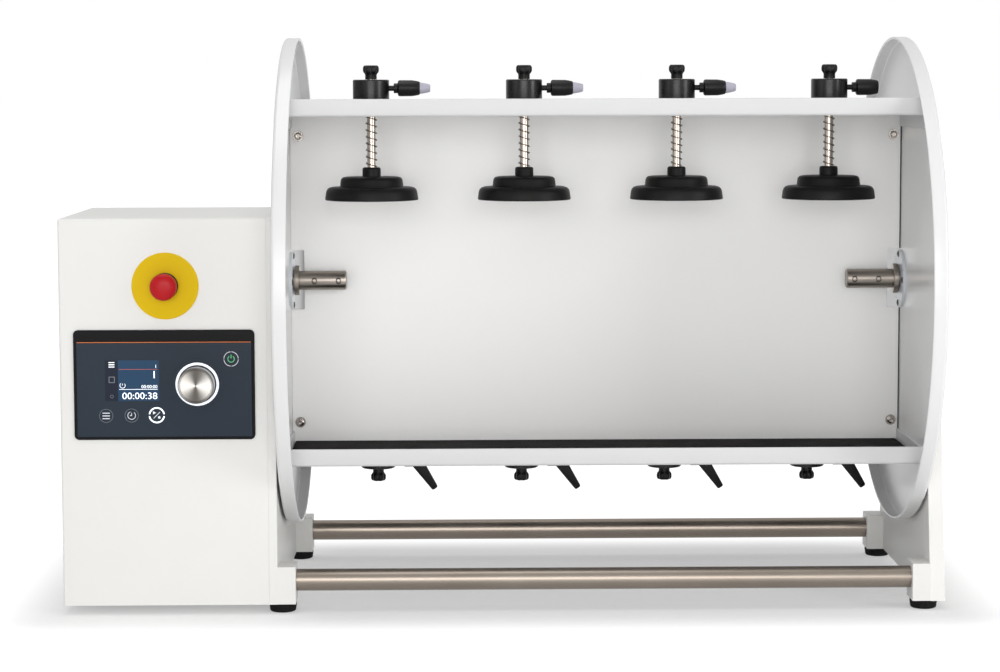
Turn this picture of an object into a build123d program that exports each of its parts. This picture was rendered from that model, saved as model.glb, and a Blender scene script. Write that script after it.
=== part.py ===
"""Overhead bottle rotator for the bench: a rack for eight bottles that turns end over end.

The rack hangs on two stub shafts between a left frame, which closes the drive housing, and a right
frame. Two steel rods tie the frames together. The rack is the same when it is turned half a turn
about its axis: four clamps hold bottles in front of the centre panel, and four more behind it.

Frame: +X to the right, +Y to the back, +Z up. The origin is on the bench, under the middle.
All lengths are in millimetres.
"""

import os
from math import asin, cos, radians, sin

from build123d import *

os.makedirs("parts", exist_ok=True)

# ---------------------------------------------------------------- driving dimensions
axis_height = 294.0         # rack axis above the bench
running_gap = 0.05          # radial clearance of a shaft in its bore
seat_gap = 0.2              # clearance between moving flat faces that meet at rest

disc_radius = 231.2
disc_rim_width = 13.5       # depth of the dished disc
disc_sheet = 2.5
disc_tab_sheet = 2.5
disc_tab_reach = 16.0
disc_tab_height = 24.0
tab_from_shelf = 20.0       # middle of a disc tab from the shelf beside it
tab_screw_inset = 7.6       # tab screws from the disc's web
lip_reach = 282.5           # rack centre to the inner edge of each disc rim
disc_to_frame = 2.5         # free gap between a disc and the frame beside it

left_wall = 7.7             # thickness of the left frame plate
right_wall = 13.5
block_width = 16.5          # foot blocks stand this far inside the frame plate
block_depth = 30.0
block_height = 34.5
foot_height = 8.5
foot_radius = 12.6
rod_radius = 10.0
rod_spacing = 260.0         # between the two cross rods, front to back
rod_height = 28.5
rod_socket_depth = 14.0
frame_lean = 10.0           # degrees, the slope of the right frame's front and back edges

housing_width = 187.2
housing_depth = 207.0
housing_top = 361.5
housing_sheet = 2.0
housing_corner = 2.0

panel_width = 163.5         # control panel
panel_height = 99.9
panel_left_margin = 12.9    # from the housing's left side
panel_bottom = 161.0        # above the bench
panel_stand = 1.8           # how far the panel stands proud of the sheet
panel_corner = 4.5
glass_width = 158.0
glass_height = 86.4
glass_bottom_margin = 2.7
skirt_wall = 3.0
skirt_depth = 4.0
board_thickness = 1.6
knob_radius = 16.6
knob_length = 14.0
knob_from_left = 124.4      # knob centre from the housing's left side
knob_z = 211.5
knob_push = 0.6             # travel of the encoder's push switch
encoder_radius = 3.0
ring_width = 2.3            # lit ring round the knob
ring_gap = 0.7              # between knob and ring

estop_from_left = 96.4
estop_z = 300.5
estop_label_radius = 30.2
estop_label_sheet = 1.2
estop_head_radius = 12.2
estop_travel = 4.0
estop_plunger_radius = 6.0

shelf_to_rim = 71.2         # from the outer face of a shelf out to the discs' rims
shelf_sheet = 2.0
shelf_half_depth = 138.0
shelf_lip = 16.0
shelf_bend = 3.0            # outer bend radius
shelf_tab = 12.0            # end tabs against the discs
mat_thickness = 2.0
panel_sheet = 2.0           # centre panel
panel_front = 6.0           # the panel's front face behind the rack axis
panel_flange = 14.0
clearance_hole = 2.1        # radius of the holes for M4 screws
notch_width = 12.5
notch_height = 57.0

stub_radius = 9.2
stub_length = 44.5
collar_radius = 14.3
collar_width = 6.0
hub_radius = 27.5
hub_thickness = 2.7
shaft_radius = 10.0
bearing_radius = 16.0
bearing_width = 7.0
screw_recess = 2.4          # depth of the recesses for the stub screws

clamp_pitch = 142.0
clamps_per_row = 4
clamp_offset = 66.0         # clamp row from the rack axis, front to back
spindle_radius = 4.0
clamp_housing_radius = 16.85
clamp_housing_height = 31.5
pad_face = 80.0             # rack axis to the pad's pressing face at rest
pad_radius = 43.3
pad_rim = 12.0
pad_step_radius = 29.6
pad_step = 9.5
pad_collar_radius = 8.6
pad_collar = 8.8
clamp_knob_radius = 7.45
clamp_knob_height = 7.9
clamp_neck_radius = 5.5
clamp_neck_height = 5.1
spring_radius = 4.95        # to the middle of the wire
spring_wire = 0.9
spring_turns = 7
lever_height = 23.5         # lever stud above the shelf
lever_stud_radius = 2.5
lever_hub_radius = 7.5
lever_hub_start = 25.1      # from the clamp axis
lever_hub_length = 20.2
lever_arm_reach = 34.0
lever_arm_lean = 25.0       # degrees, away from the clamp

pulley_start = 13.8         # from the left frame plate to the pulleys
pulley_width = 18.0
pulley_to_sheet = 7.5       # free gap between the large pulley's rim and the rear sheet
pulley_flange = 2.5
motor_pulley_radius = 20.0
motor_height = 150.0        # motor shaft above the bench
rib_pitch = 2.34            # ribbed belt
rib_depth = 1.8
rib_count = 6
belt_back = 1.6
belt_gap = 0.1
motor_shaft_radius = 5.0
gearbox_radius = 32.0
gearbox_length = 40.0
motor_radius = 28.0
motor_length = 76.0
bracket_sheet = 3.0
bracket_from_pulley = 11.0
bracket_margin = 10.0       # the motor bracket beyond the gearbox, each side
supply_width = 90.0         # power supply case
supply_depth = 134.0
supply_height = 38.0
supply_foot = 4.0           # its base plate stands out this far at the sides
supply_margin = 12.0        # from the housing's left side
supply_vent = 30.0

panel_screw = (4.6, 2.2, 2.0)   # pan heads: head radius, head height, shank radius
stub_screw = (3.6, 2.2, 2.5)
hub_screw = (3.6, 2.0, 2.0)
sheet_screw = (3.4, 1.9, 1.5)
sheet_screw_margin = 24.5   # end screws of the rear sheet from the ends of the cover's flange

# ---------------------------------------------------------------- places that follow from them
rack_x = (housing_width + left_wall - right_wall) / 2
web_out = lip_reach + disc_rim_width            # outer face of each disc, from the rack centre
web_in = web_out - disc_sheet
plate_in = web_out + disc_to_frame              # inner face of each frame plate
left_plate_x = rack_x - plate_in - left_wall    # left face of the left frame plate
housing_left = left_plate_x - housing_width
base_half = rod_spacing / 2 + block_depth / 2   # front and back faces of the frames
front_y = -base_half
housing_back = front_y + housing_depth
shelf_reach = disc_radius - shelf_to_rim        # rack axis to the outer face of a shelf
shelf_in = shelf_reach - shelf_sheet            # rack axis to the inner face of a shelf
tab_place = shelf_in - tab_from_shelf           # rack axis to the middle of a disc tab
driven_radius = housing_back - housing_sheet - pulley_to_sheet - pulley_flange
clamp_xs = [(i - (clamps_per_row - 1) / 2) * clamp_pitch for i in range(clamps_per_row)]
rack_axis = Axis((0, 0, axis_height), (1, 0, 0))
pulley_x = left_plate_x - pulley_start - pulley_width
collar_face = web_in - hub_thickness - collar_width


def save(part, name):
    """Label a finished piece and write it as its own STEP file."""
    part.label = name
    export_step(part, f"parts/{name}.step")


def across(x):
    """A plane across the rack axis at x: its own x runs along +Y and its own y runs along +Z."""
    return Plane(origin=(x, 0, 0), x_dir=(0, 1, 0), z_dir=(1, 0, 0))


def facing(y, x=0.0, z=0.0):
    """A plane seen from the front: its own x runs along +X, its own y along +Z, normal to -Y."""
    return Plane(origin=(x, y, z), x_dir=(1, 0, 0), z_dir=(0, -1, 0))


def clamp_profile(x, turn):
    """A plane through the clamp axis: its own x runs along +X and its own y up out of the shelf."""
    return Plane((rack_x + x, -turn * clamp_offset, axis_height), x_dir=(1, 0, 0), z_dir=(0, -turn, 0))


def clamp_level(x, turn, height):
    """A plane across the clamp axis at a height above the rack axis."""
    origin = (rack_x + x, -turn * clamp_offset, axis_height + turn * height)
    return Plane(origin, x_dir=(1, 0, 0), z_dir=(0, 0, turn))


def closed(points):
    """A face from the corners of a polygon, where they are given, inside the sketch that is open."""
    Polygon(*points)


# ================================================================ the stand
def frame_outline(points, corner):
    """One frame's profile across the rack axis, with its outer corners rounded."""
    closed(points)
    fillet(vertices().filter_by(lambda v: v.Y > foot_height + block_height), corner)


def frame_blocks(side):
    """The two foot blocks inside a frame plate, with a socket for each cross rod."""
    inner_x = rack_x + side * (plate_in - block_width)
    with BuildSketch(across(inner_x)) as blocks:
        with GridLocations(rod_spacing, 0, 2, 1):
            with Locations((0, foot_height + block_height / 2)):
                Rectangle(block_depth, block_height)
    extrude(blocks.sketch, amount=side * block_width)
    with BuildSketch(across(inner_x)) as sockets:
        with GridLocations(rod_spacing, 0, 2, 1):
            with Locations((0, rod_height)):
                Circle(rod_radius + running_gap)
    extrude(sockets.sketch, amount=side * rod_socket_depth, mode=Mode.SUBTRACT)


# The left frame is the housing's right wall, with a gusset that carries the rear foot.
bearing_boss_radius = bearing_radius + 8
bearing_boss = bearing_width + 3
with BuildPart() as left_side_frame:
    with BuildSketch(across(left_plate_x)):
        frame_outline(
            [
                (front_y, foot_height),
                (base_half, foot_height),
                (base_half, foot_height + block_height),
                (housing_back, foot_height + 5 * block_height),
                (housing_back, housing_top - housing_sheet),
                (front_y, housing_top - housing_sheet),
            ],
            housing_corner,
        )
    extrude(amount=left_wall)
    frame_blocks(-1)
    with BuildSketch(across(left_plate_x)):
        with Locations((0, axis_height)):
            Circle(bearing_boss_radius)
    extrude(amount=-bearing_boss)
    with BuildSketch(across(left_plate_x - bearing_boss)):
        with Locations((0, axis_height)):
            Circle(shaft_radius + 1)
    extrude(amount=bearing_boss + left_wall, mode=Mode.SUBTRACT)
    with BuildSketch(across(left_plate_x - bearing_boss)):
        with Locations((0, axis_height)):
            Circle(bearing_radius)
    extrude(amount=bearing_width, mode=Mode.SUBTRACT)
save(left_side_frame.part, "left_side_frame")

# The right frame is one cast upright that narrows to a round head at the bearing.
lean = radians(frame_lean)
head_radius = base_half * cos(lean) - (axis_height - foot_height) * sin(lean)
tangent_y = head_radius * cos(lean)
tangent_z = axis_height + head_radius * sin(lean)
with BuildPart() as right_side_frame:
    with BuildSketch(across(rack_x + plate_in)):
        with BuildLine():
            Polyline((-tangent_y, tangent_z), (-base_half, foot_height), (base_half, foot_height))
            Line((base_half, foot_height), (tangent_y, tangent_z))
            ThreePointArc((tangent_y, tangent_z), (0, axis_height + head_radius), (-tangent_y, tangent_z))
        make_face()
    extrude(amount=right_wall)
    fillet(edges().group_by(Axis.X)[-1], 1.5)
    frame_blocks(1)
    with BuildSketch(across(rack_x + plate_in)):
        with Locations((0, axis_height)):
            Circle(bearing_radius)
    extrude(amount=bearing_width + 0.5, mode=Mode.SUBTRACT)
    with BuildSketch(across(rack_x + plate_in)):
        with Locations((0, axis_height)):
            Circle(shaft_radius + 1)
    extrude(amount=right_wall - 2.5, mode=Mode.SUBTRACT)
save(right_side_frame.part, "right_side_frame")

with BuildPart() as cross_rods:
    with BuildSketch(across(rack_x)):
        with Locations((-rod_spacing / 2, rod_height), (rod_spacing / 2, rod_height)):
            Circle(rod_radius)
    extrude(amount=plate_in - block_width + rod_socket_depth, both=True)
    chamfer(edges().filter_by(GeomType.CIRCLE), 0.6)
save(cross_rods.part, "cross_rods")

# Rubber feet: one under each block, and two under the far end of the housing.
block_middle = plate_in - block_width + foot_radius
housing_foot_x = housing_left + 55
foot_places = [
    (rack_x + side * block_middle, y) for side in (-1, 1) for y in (-rod_spacing / 2, rod_spacing / 2)
] + [(housing_foot_x, front_y + 62), (housing_foot_x, housing_back - 30)]
with BuildPart() as feet:
    for x, y in foot_places:
        with BuildSketch(Plane((x, y, 0))):
            Circle(foot_radius - 1)
        with BuildSketch(Plane((x, y, foot_height))):
            Circle(foot_radius)
        loft()
    chamfer(edges().group_by(Axis.Z)[0], 1.2)
save(feet.part, "feet")

with BuildPart() as shaft_bearings:
    bearing_starts = (left_plate_x - bearing_boss, rack_x + plate_in + 0.5)
    for x in bearing_starts:
        with BuildSketch(across(x)):
            with Locations((0, axis_height)):
                Circle(bearing_radius)
                Circle(shaft_radius + running_gap, mode=Mode.SUBTRACT)
        extrude(amount=bearing_width)
save(shaft_bearings.part, "shaft_bearings")

# ================================================================ the drive housing
label_center = (housing_left + estop_from_left, estop_z)
panel_center = (housing_left + panel_left_margin + panel_width / 2, panel_bottom + panel_height / 2)
glass_center = (panel_center[0], panel_bottom + glass_bottom_margin + glass_height / 2)
skirt_width = glass_width - 2.0
skirt_height = glass_height + 5.0
inner_top = housing_top - housing_sheet
return_flange = 10.0
tray_edge = 14.0
return_start = foot_height + tray_edge + 1
estop_neck_radius = 11.0
low_screw = return_start + sheet_screw_margin
high_screw = inner_top - sheet_screw_margin
screw_x = housing_left + housing_sheet + return_flange / 2
screw_places = [(screw_x, z) for z in (low_screw, (low_screw + high_screw) / 2, high_screw)]

# Cover: front, top and left side in one bent sheet, open below, behind and on the right.
with BuildPart() as housing_cover:
    with BuildSketch(Plane.XY.offset(foot_height)):
        with Locations((housing_left, front_y)):
            Rectangle(left_plate_x - housing_left, housing_depth, align=Align.MIN)
    extrude(amount=housing_top - foot_height)
    outer = edges().filter_by(Axis.Z).group_by(Axis.Y)[0].sort_by(Axis.X)[0]
    fillet(
        [outer] + edges().filter_by(Axis.X).group_by(Axis.Z)[-1].sort_by(Axis.Y)[:1]
        + edges().filter_by(Axis.Y).group_by(Axis.Z)[-1].sort_by(Axis.X)[:1],
        housing_corner,
    )
    with BuildSketch(Plane.XY.offset(foot_height)):
        with Locations((housing_left + housing_sheet, front_y + housing_sheet)):
            Rectangle(housing_width, housing_depth, align=Align.MIN)
    extrude(amount=inner_top - foot_height, mode=Mode.SUBTRACT)
    # the top runs on over the left frame plate
    with BuildSketch(Plane.XY.offset(inner_top)):
        with Locations((left_plate_x, front_y + housing_corner)):
            Rectangle(left_wall, housing_depth - housing_corner, align=Align.MIN)
    extrude(amount=housing_sheet)
    # returns at the back, which the rear sheet is screwed to
    with BuildSketch(facing(housing_back - housing_sheet)):
        with Locations((housing_left + housing_sheet, return_start)):
            Rectangle(return_flange, inner_top - return_start, align=Align.MIN)
        with Locations((housing_left + housing_sheet, inner_top - return_flange)):
            Rectangle(housing_width - housing_sheet, return_flange, align=Align.MIN)
    extrude(amount=housing_sheet)
    # openings for the control panel's skirt and the stop button's neck
    with BuildSketch(facing(front_y + housing_sheet)):
        with Locations(glass_center):
            Rectangle(skirt_width + 0.4, skirt_height + 0.4)
        with Locations(label_center):
            Circle(estop_neck_radius + 0.2)
    extrude(amount=housing_sheet, mode=Mode.SUBTRACT)
    with BuildSketch(facing(housing_back)):
        with Locations(*screw_places):
            Circle(1.7)
    extrude(amount=2 * housing_sheet, mode=Mode.SUBTRACT)
save(housing_cover.part, "housing_cover")

# Chassis: floor, turned-up edges, rear sheet with vents, and the welded motor bracket.
tray_left = housing_left + housing_sheet + seat_gap
tray_front = front_y + housing_sheet + seat_gap
inlet_x = housing_left + 48
inlet_z = 60.0
inlet_width = 27.0
inlet_height = 46.0
vent_count = 9
bracket_x = pulley_x - bracket_from_pulley
bracket_half = gearbox_radius + bracket_margin
with BuildPart() as chassis_tray:
    with BuildSketch(Plane.XY.offset(foot_height)):
        with Locations((tray_left, tray_front)):
            Rectangle(left_plate_x - tray_left, housing_back - tray_front, align=Align.MIN)
    extrude(amount=housing_sheet)
    with BuildSketch(facing(housing_back)):
        with Locations((tray_left, foot_height)):
            Rectangle(left_plate_x - tray_left, inner_top - seat_gap - foot_height, align=Align.MIN)
        with Locations((inlet_x, inlet_z)):
            Rectangle(inlet_width, inlet_height, mode=Mode.SUBTRACT)
        with Locations((housing_left + housing_width / 2, housing_top - 95)):
            with GridLocations(9, 1, vent_count, 1):
                SlotOverall(60, 3.5, rotation=90, mode=Mode.SUBTRACT)
        with Locations(*screw_places):
            Circle(1.7, mode=Mode.SUBTRACT)
    extrude(amount=housing_sheet)
    with BuildSketch(facing(tray_front + housing_sheet)):
        with Locations((tray_left, foot_height)):
            Rectangle(left_plate_x - tray_left, tray_edge, align=Align.MIN)
    extrude(amount=housing_sheet)
    with BuildSketch(across(tray_left)):
        with Locations((tray_front, foot_height)):
            Rectangle(housing_back - tray_front, tray_edge, align=Align.MIN)
    extrude(amount=housing_sheet)
    with BuildSketch(across(bracket_x - bracket_sheet)):
        with Locations((0, foot_height + housing_sheet)):
            Rectangle(
                2 * bracket_half,
                motor_height + gearbox_radius + 6 - foot_height - housing_sheet,
                align=(Align.CENTER, Align.MIN),
            )
        with Locations((0, motor_height)):
            Circle(motor_shaft_radius + 8, mode=Mode.SUBTRACT)
    extrude(amount=bracket_sheet)
    with BuildSketch(Plane.XY.offset(foot_height + housing_sheet)):
        with Locations((bracket_x - bracket_sheet - 22, -bracket_half)):
            Rectangle(22, 2 * bracket_half, align=Align.MIN)
    extrude(amount=bracket_sheet)
save(chassis_tray.part, "chassis_tray")

# Mains inlet with a rocker switch above it, snapped into the rear sheet.
rocker_width = 12.0
rocker_height = 19.0
rocker_pivot_y = housing_back + 1.0
rocker_z = inlet_z + 12
rocker_tilt = 8.0
inlet_depth = 24.0
with BuildPart() as power_inlet:
    with BuildSketch(facing(housing_back)):
        with Locations((inlet_x, inlet_z)):
            RectangleRounded(inlet_width + 6, inlet_height + 6, 2)
    extrude(amount=-3)
    with BuildSketch(facing(housing_back)):
        with Locations((inlet_x, inlet_z)):
            Rectangle(inlet_width, inlet_height)
    extrude(amount=inlet_depth)
    with BuildSketch(facing(housing_back + 3)):
        with Locations((inlet_x, inlet_z - 11)):
            Rectangle(22, 15)
        with Locations((inlet_x, rocker_z)):
            Rectangle(rocker_width + 0.8, rocker_height + 0.8)
    extrude(amount=14, mode=Mode.SUBTRACT)
    with BuildSketch(facing(housing_back - 11)):
        with Locations((inlet_x - 7, inlet_z - 12), (inlet_x, inlet_z - 9), (inlet_x + 7, inlet_z - 12)):
            Rectangle(2, 4)
    extrude(amount=-9)
save(power_inlet.part, "power_inlet")

# The rocker rests on its lower half, and swings through twice its tilt.
with BuildPart() as power_rocker:
    with BuildSketch(Plane((inlet_x, rocker_pivot_y, rocker_z), x_dir=(0, 1, 0), z_dir=(1, 0, 0))):
        with Locations(Rotation(0, 0, rocker_tilt)):
            closed([
                (-5, -4), (-5, 4), (2.2, rocker_height / 2 - 0.6), (2.0, 0), (2.2, 0.6 - rocker_height / 2),
            ])
    extrude(amount=rocker_width / 2, both=True)
save(power_rocker.part, "power_rocker")

# ================================================================ the belt drive
motor_axis_z = motor_height
pulley_distance = axis_height - motor_height


def rib_profile(radius, gap):
    """Points along the ribbed running surface, from (x, radius) pairs, at a gap from the pulley."""
    points = []
    start = pulley_width / 2 - rib_count * rib_pitch / 2
    for i in range(rib_count):
        left = start + i * rib_pitch
        points.append((left + 0.15, radius + gap))
        points.append((left + rib_pitch / 2, radius - rib_depth + gap))
    points.append((start + rib_count * rib_pitch - 0.15, radius + gap))
    return points


def grooved_pulley(radius, bore, z):
    """Revolve a pulley with V grooves between two flanges, about its own shaft."""
    with BuildSketch(Plane((pulley_x, 0, z), x_dir=(1, 0, 0), z_dir=(0, -1, 0))) as profile:
        flange = radius + pulley_flange
        closed(
            [(0, bore), (0, flange), (1.2, flange), (1.2, radius)]
            + rib_profile(radius, 0)
            + [(pulley_width - 1.2, radius), (pulley_width - 1.2, flange), (pulley_width, flange)]
            + [(pulley_width, bore)]
        )
    revolve(profile.sketch, axis=Axis((pulley_x, 0, z), (1, 0, 0)))


with BuildPart() as driven_pulley:
    grooved_pulley(driven_radius, shaft_radius, axis_height)
    with BuildSketch(across(pulley_x)):
        with Locations((0, axis_height)):
            Circle(shaft_radius + 7)
            Circle(shaft_radius, mode=Mode.SUBTRACT)
    extrude(amount=-8)
    with BuildSketch(across(pulley_x)):
        with Locations((0, axis_height)):
            with PolarLocations((driven_radius + shaft_radius + 2) / 2, 5):
                Circle((driven_radius - shaft_radius) * 0.225)
    extrude(amount=pulley_width, mode=Mode.SUBTRACT)
save(driven_pulley.part, "driven_pulley")

# The motor pulley and the gearbox output shaft turn as one piece.
gearbox_face = bracket_x - bracket_sheet
with BuildPart() as motor_pulley:
    grooved_pulley(motor_pulley_radius, motor_shaft_radius, motor_axis_z)
    with BuildSketch(across(pulley_x + pulley_width)):
        with Locations((0, motor_axis_z)):
            Circle(motor_shaft_radius)
    extrude(amount=-(pulley_x + pulley_width - gearbox_face + 26))
save(motor_pulley.part, "motor_pulley")

with BuildPart() as gear_motor:
    with BuildSketch(across(gearbox_face)):
        with Locations((0, motor_axis_z)):
            Circle(gearbox_radius)
    extrude(amount=-gearbox_length)
    with BuildSketch(across(gearbox_face - gearbox_length)):
        with Locations((0, motor_axis_z)):
            Circle(motor_radius)
    extrude(amount=-motor_length)
    fillet(edges().group_by(Axis.X)[0], 3)
    with BuildSketch(across(gearbox_face)):
        with Locations((0, motor_axis_z)):
            Circle(motor_shaft_radius + 7.8)
    extrude(amount=bracket_sheet)
    with BuildSketch(across(bracket_x)):
        with Locations((0, motor_axis_z)):
            Circle(motor_shaft_radius + running_gap)
    extrude(amount=-(bracket_sheet + 28), mode=Mode.SUBTRACT)
save(gear_motor.part, "gear_motor")

# The ribbed belt runs round both pulleys on their common tangents.
wrap = asin((driven_radius - motor_pulley_radius) / pulley_distance)
side_y, side_z = cos(wrap), -sin(wrap)
top_start = (driven_radius * side_y, axis_height + driven_radius * side_z)
low_start = (motor_pulley_radius * side_y, motor_axis_z + motor_pulley_radius * side_z)
with BuildPart() as drive_belt:
    with BuildLine(across(pulley_x)) as belt_path:
        ThreePointArc(
            (-top_start[0], top_start[1]), (0, axis_height + driven_radius), (top_start[0], top_start[1])
        )
        Line((top_start[0], top_start[1]), (low_start[0], low_start[1]))
        ThreePointArc(
            (low_start[0], low_start[1]),
            (0, motor_axis_z - motor_pulley_radius),
            (-low_start[0], low_start[1]),
        )
        Line((-low_start[0], low_start[1]), (-top_start[0], top_start[1]))
    top_mid = Plane((pulley_x, 0, axis_height), x_dir=(1, 0, 0), z_dir=(0, -1, 0))
    with BuildSketch(top_mid):
        with BuildLine():
            ribs = rib_profile(driven_radius, belt_gap)
            Polyline(
                ribs
                + [(ribs[-1][0], driven_radius + belt_gap + belt_back)]
                + [(ribs[0][0], driven_radius + belt_gap + belt_back)],
                close=True,
            )
        make_face()
    sweep(path=belt_path.wires()[0])
save(drive_belt.part, "drive_belt")

with BuildPart() as power_supply:
    supply_floor = foot_height + housing_sheet
    supply_sheet = 1.5
    supply_x = housing_left + supply_margin + supply_foot + supply_width / 2
    supply_y = front_y + supply_margin + housing_sheet + 2 * supply_foot + supply_depth / 2
    with BuildSketch(Plane.XY.offset(supply_floor)):
        with Locations((supply_x, supply_y)):
            Rectangle(supply_width + 2 * supply_foot, supply_depth + 4 * supply_foot)
    extrude(amount=supply_sheet)
    with BuildSketch(Plane.XY.offset(supply_floor + supply_sheet)):
        with Locations((supply_x, supply_y)):
            Rectangle(supply_width, supply_depth)
    extrude(amount=supply_height)
    with BuildSketch(Plane.XY.offset(supply_floor + supply_height)):
        with Locations((supply_x, supply_y)):
            with GridLocations(supply_width / 9, supply_vent * 4 / 3, 7, 3):
                SlotOverall(supply_vent, supply_foot, rotation=90)
    extrude(amount=supply_sheet, mode=Mode.SUBTRACT)
save(power_supply.part, "power_supply")

# ================================================================ the control panel
knob_x = housing_left + knob_from_left
board_front = front_y + skirt_depth
ring_outer = knob_radius + ring_gap + ring_width
with BuildPart() as panel_bezel:
    with BuildSketch(facing(front_y)):
        with Locations(panel_center):
            RectangleRounded(panel_width, panel_height, panel_corner)
        with Locations(glass_center):
            Rectangle(glass_width, glass_height, mode=Mode.SUBTRACT)
    extrude(amount=panel_stand)
    chamfer(faces().sort_by(Axis.Y)[0].outer_wire().edges(), 0.4)
    with BuildSketch(facing(front_y + skirt_depth)):
        with Locations(glass_center):
            Rectangle(skirt_width, skirt_height)
            Rectangle(skirt_width - 2 * skirt_wall, skirt_height - 2 * skirt_wall - 5, mode=Mode.SUBTRACT)
    extrude(amount=skirt_depth)
save(panel_bezel.part, "panel_bezel")

with BuildPart() as panel_glass:
    with BuildSketch(facing(front_y)):
        with Locations(glass_center):
            Rectangle(glass_width, glass_height)
        with Locations((knob_x, knob_z)):
            Circle(encoder_radius + 0.5, mode=Mode.SUBTRACT)
    extrude(amount=panel_stand)
save(panel_glass.part, "panel_glass")

with BuildPart() as knob_light_ring:
    with BuildSketch(facing(front_y - panel_stand)):
        with Locations((knob_x, knob_z)):
            Circle(ring_outer)
            Circle(knob_radius + ring_gap, mode=Mode.SUBTRACT)
    extrude(amount=0.6)
save(knob_light_ring.part, "knob_light_ring")

screen_width, screen_height = 56.0, 42.0
encoder_body = 13.0
with BuildPart() as control_board:
    with BuildSketch(facing(board_front + board_thickness)):
        with Locations(glass_center):
            Rectangle(skirt_width, skirt_height)
    extrude(amount=board_thickness)
    with BuildSketch(facing(board_front)):
        with Locations((housing_left + 65.5, 215.0)):
            Rectangle(screen_width, screen_height)
        with Locations((knob_x, knob_z)):
            Rectangle(encoder_body, encoder_body)
    extrude(amount=skirt_depth - seat_gap)
    with BuildSketch(facing(board_front + board_thickness + 9)):
        with Locations((knob_x, knob_z)):
            Rectangle(encoder_body, encoder_body)
        with Locations((housing_left + 50, glass_center[1])):
            Rectangle(34, 12)
    extrude(amount=9)
    with BuildSketch(facing(front_y)):
        with Locations((knob_x, knob_z)):
            Circle(encoder_radius + running_gap)
    extrude(amount=-(skirt_depth + board_thickness + 6), mode=Mode.SUBTRACT)
save(control_board.part, "control_board")

# The encoder shaft slides in to click, and the knob turns on it.
knob_back = front_y - panel_stand - knob_push - 0.3
with BuildPart() as encoder_plunger:
    with BuildSketch(facing(front_y + skirt_depth + board_thickness + 5)):
        with Locations((knob_x, knob_z)):
            Circle(encoder_radius)
    extrude(amount=skirt_depth + board_thickness + 5 + front_y - knob_back + knob_length - 4)
save(encoder_plunger.part, "encoder_plunger")

with BuildPart() as control_knob:
    with BuildSketch(Plane((knob_x, 0, knob_z), x_dir=(0, -1, 0), z_dir=(0, 0, 1))):
        start = -knob_back
        closed(
            [
                (start, encoder_radius + running_gap),
                (start, knob_radius),
                (start + knob_length - 1.2, knob_radius - 0.5),
                (start + knob_length, knob_radius - 1.7),
                (start + knob_length - 1.4, 0),
                (start + knob_length - 3.5, 0),
                (start + knob_length - 3.5, encoder_radius + running_gap),
            ]
        )
    revolve(axis=Axis((knob_x, 0, knob_z), (0, -1, 0)))
save(control_knob.part, "control_knob")

# ================================================================ the emergency stop
stop_x, stop_z = label_center
label_front = front_y - estop_label_sheet
stop_axis = Axis((stop_x, 0, stop_z), (0, -1, 0))
stop_bezel = 2.0
head_back = label_front - stop_bezel - estop_travel - 0.3
with BuildPart() as estop_label:
    with BuildSketch(facing(front_y)):
        with Locations(label_center):
            Circle(estop_label_radius)
            Circle(estop_neck_radius + 0.2, mode=Mode.SUBTRACT)
    extrude(amount=estop_label_sheet)
    chamfer(faces().sort_by(Axis.Y)[0].outer_wire().edges(), 0.5)
save(estop_label.part, "estop_label")

with BuildPart() as estop_body:
    with BuildSketch(facing(label_front)):
        with Locations(label_center):
            Circle(estop_neck_radius + 1)
    extrude(amount=stop_bezel)
    with BuildSketch(facing(label_front)):
        with Locations(label_center):
            Circle(estop_neck_radius)
    extrude(amount=-(estop_label_sheet + 12))
    with BuildSketch(facing(front_y + housing_sheet)):
        with Locations(label_center):
            RegularPolygon(16, 6)
    extrude(amount=-4)
    with BuildSketch(facing(front_y + 12)):
        with Locations(label_center):
            Rectangle(30, 30)
    extrude(amount=-34)
    with BuildSketch(facing(label_front - stop_bezel)):
        with Locations(label_center):
            Circle(estop_plunger_radius + running_gap)
    extrude(amount=-24, mode=Mode.SUBTRACT)
save(estop_body.part, "estop_body")

with BuildPart() as estop_plunger:
    with BuildSketch(facing(front_y + 10)):
        with Locations(label_center):
            Circle(estop_plunger_radius)
    extrude(amount=10 + front_y - head_back)
    with BuildSketch(facing(head_back)):
        with Locations(label_center):
            Circle(4)
    extrude(amount=8)
save(estop_plunger.part, "estop_plunger")

with BuildPart() as estop_head:
    with BuildSketch(Plane((stop_x, 0, stop_z), x_dir=(0, -1, 0), z_dir=(0, 0, 1))):
        base = 0.1 - head_back
        brim = base + 11.6
        closed(
            [
                (base, 4 + running_gap), (base, estop_head_radius - 1.5), (base + 3, estop_head_radius),
                (brim, estop_head_radius), (base + 14, 0), (base + 10, 0), (base + 10, 4 + running_gap),
            ]
        )
        fillet(vertices().sort_by_distance((brim, estop_head_radius))[0], 5)
    revolve(axis=stop_axis)
save(estop_head.part, "estop_head")

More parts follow.
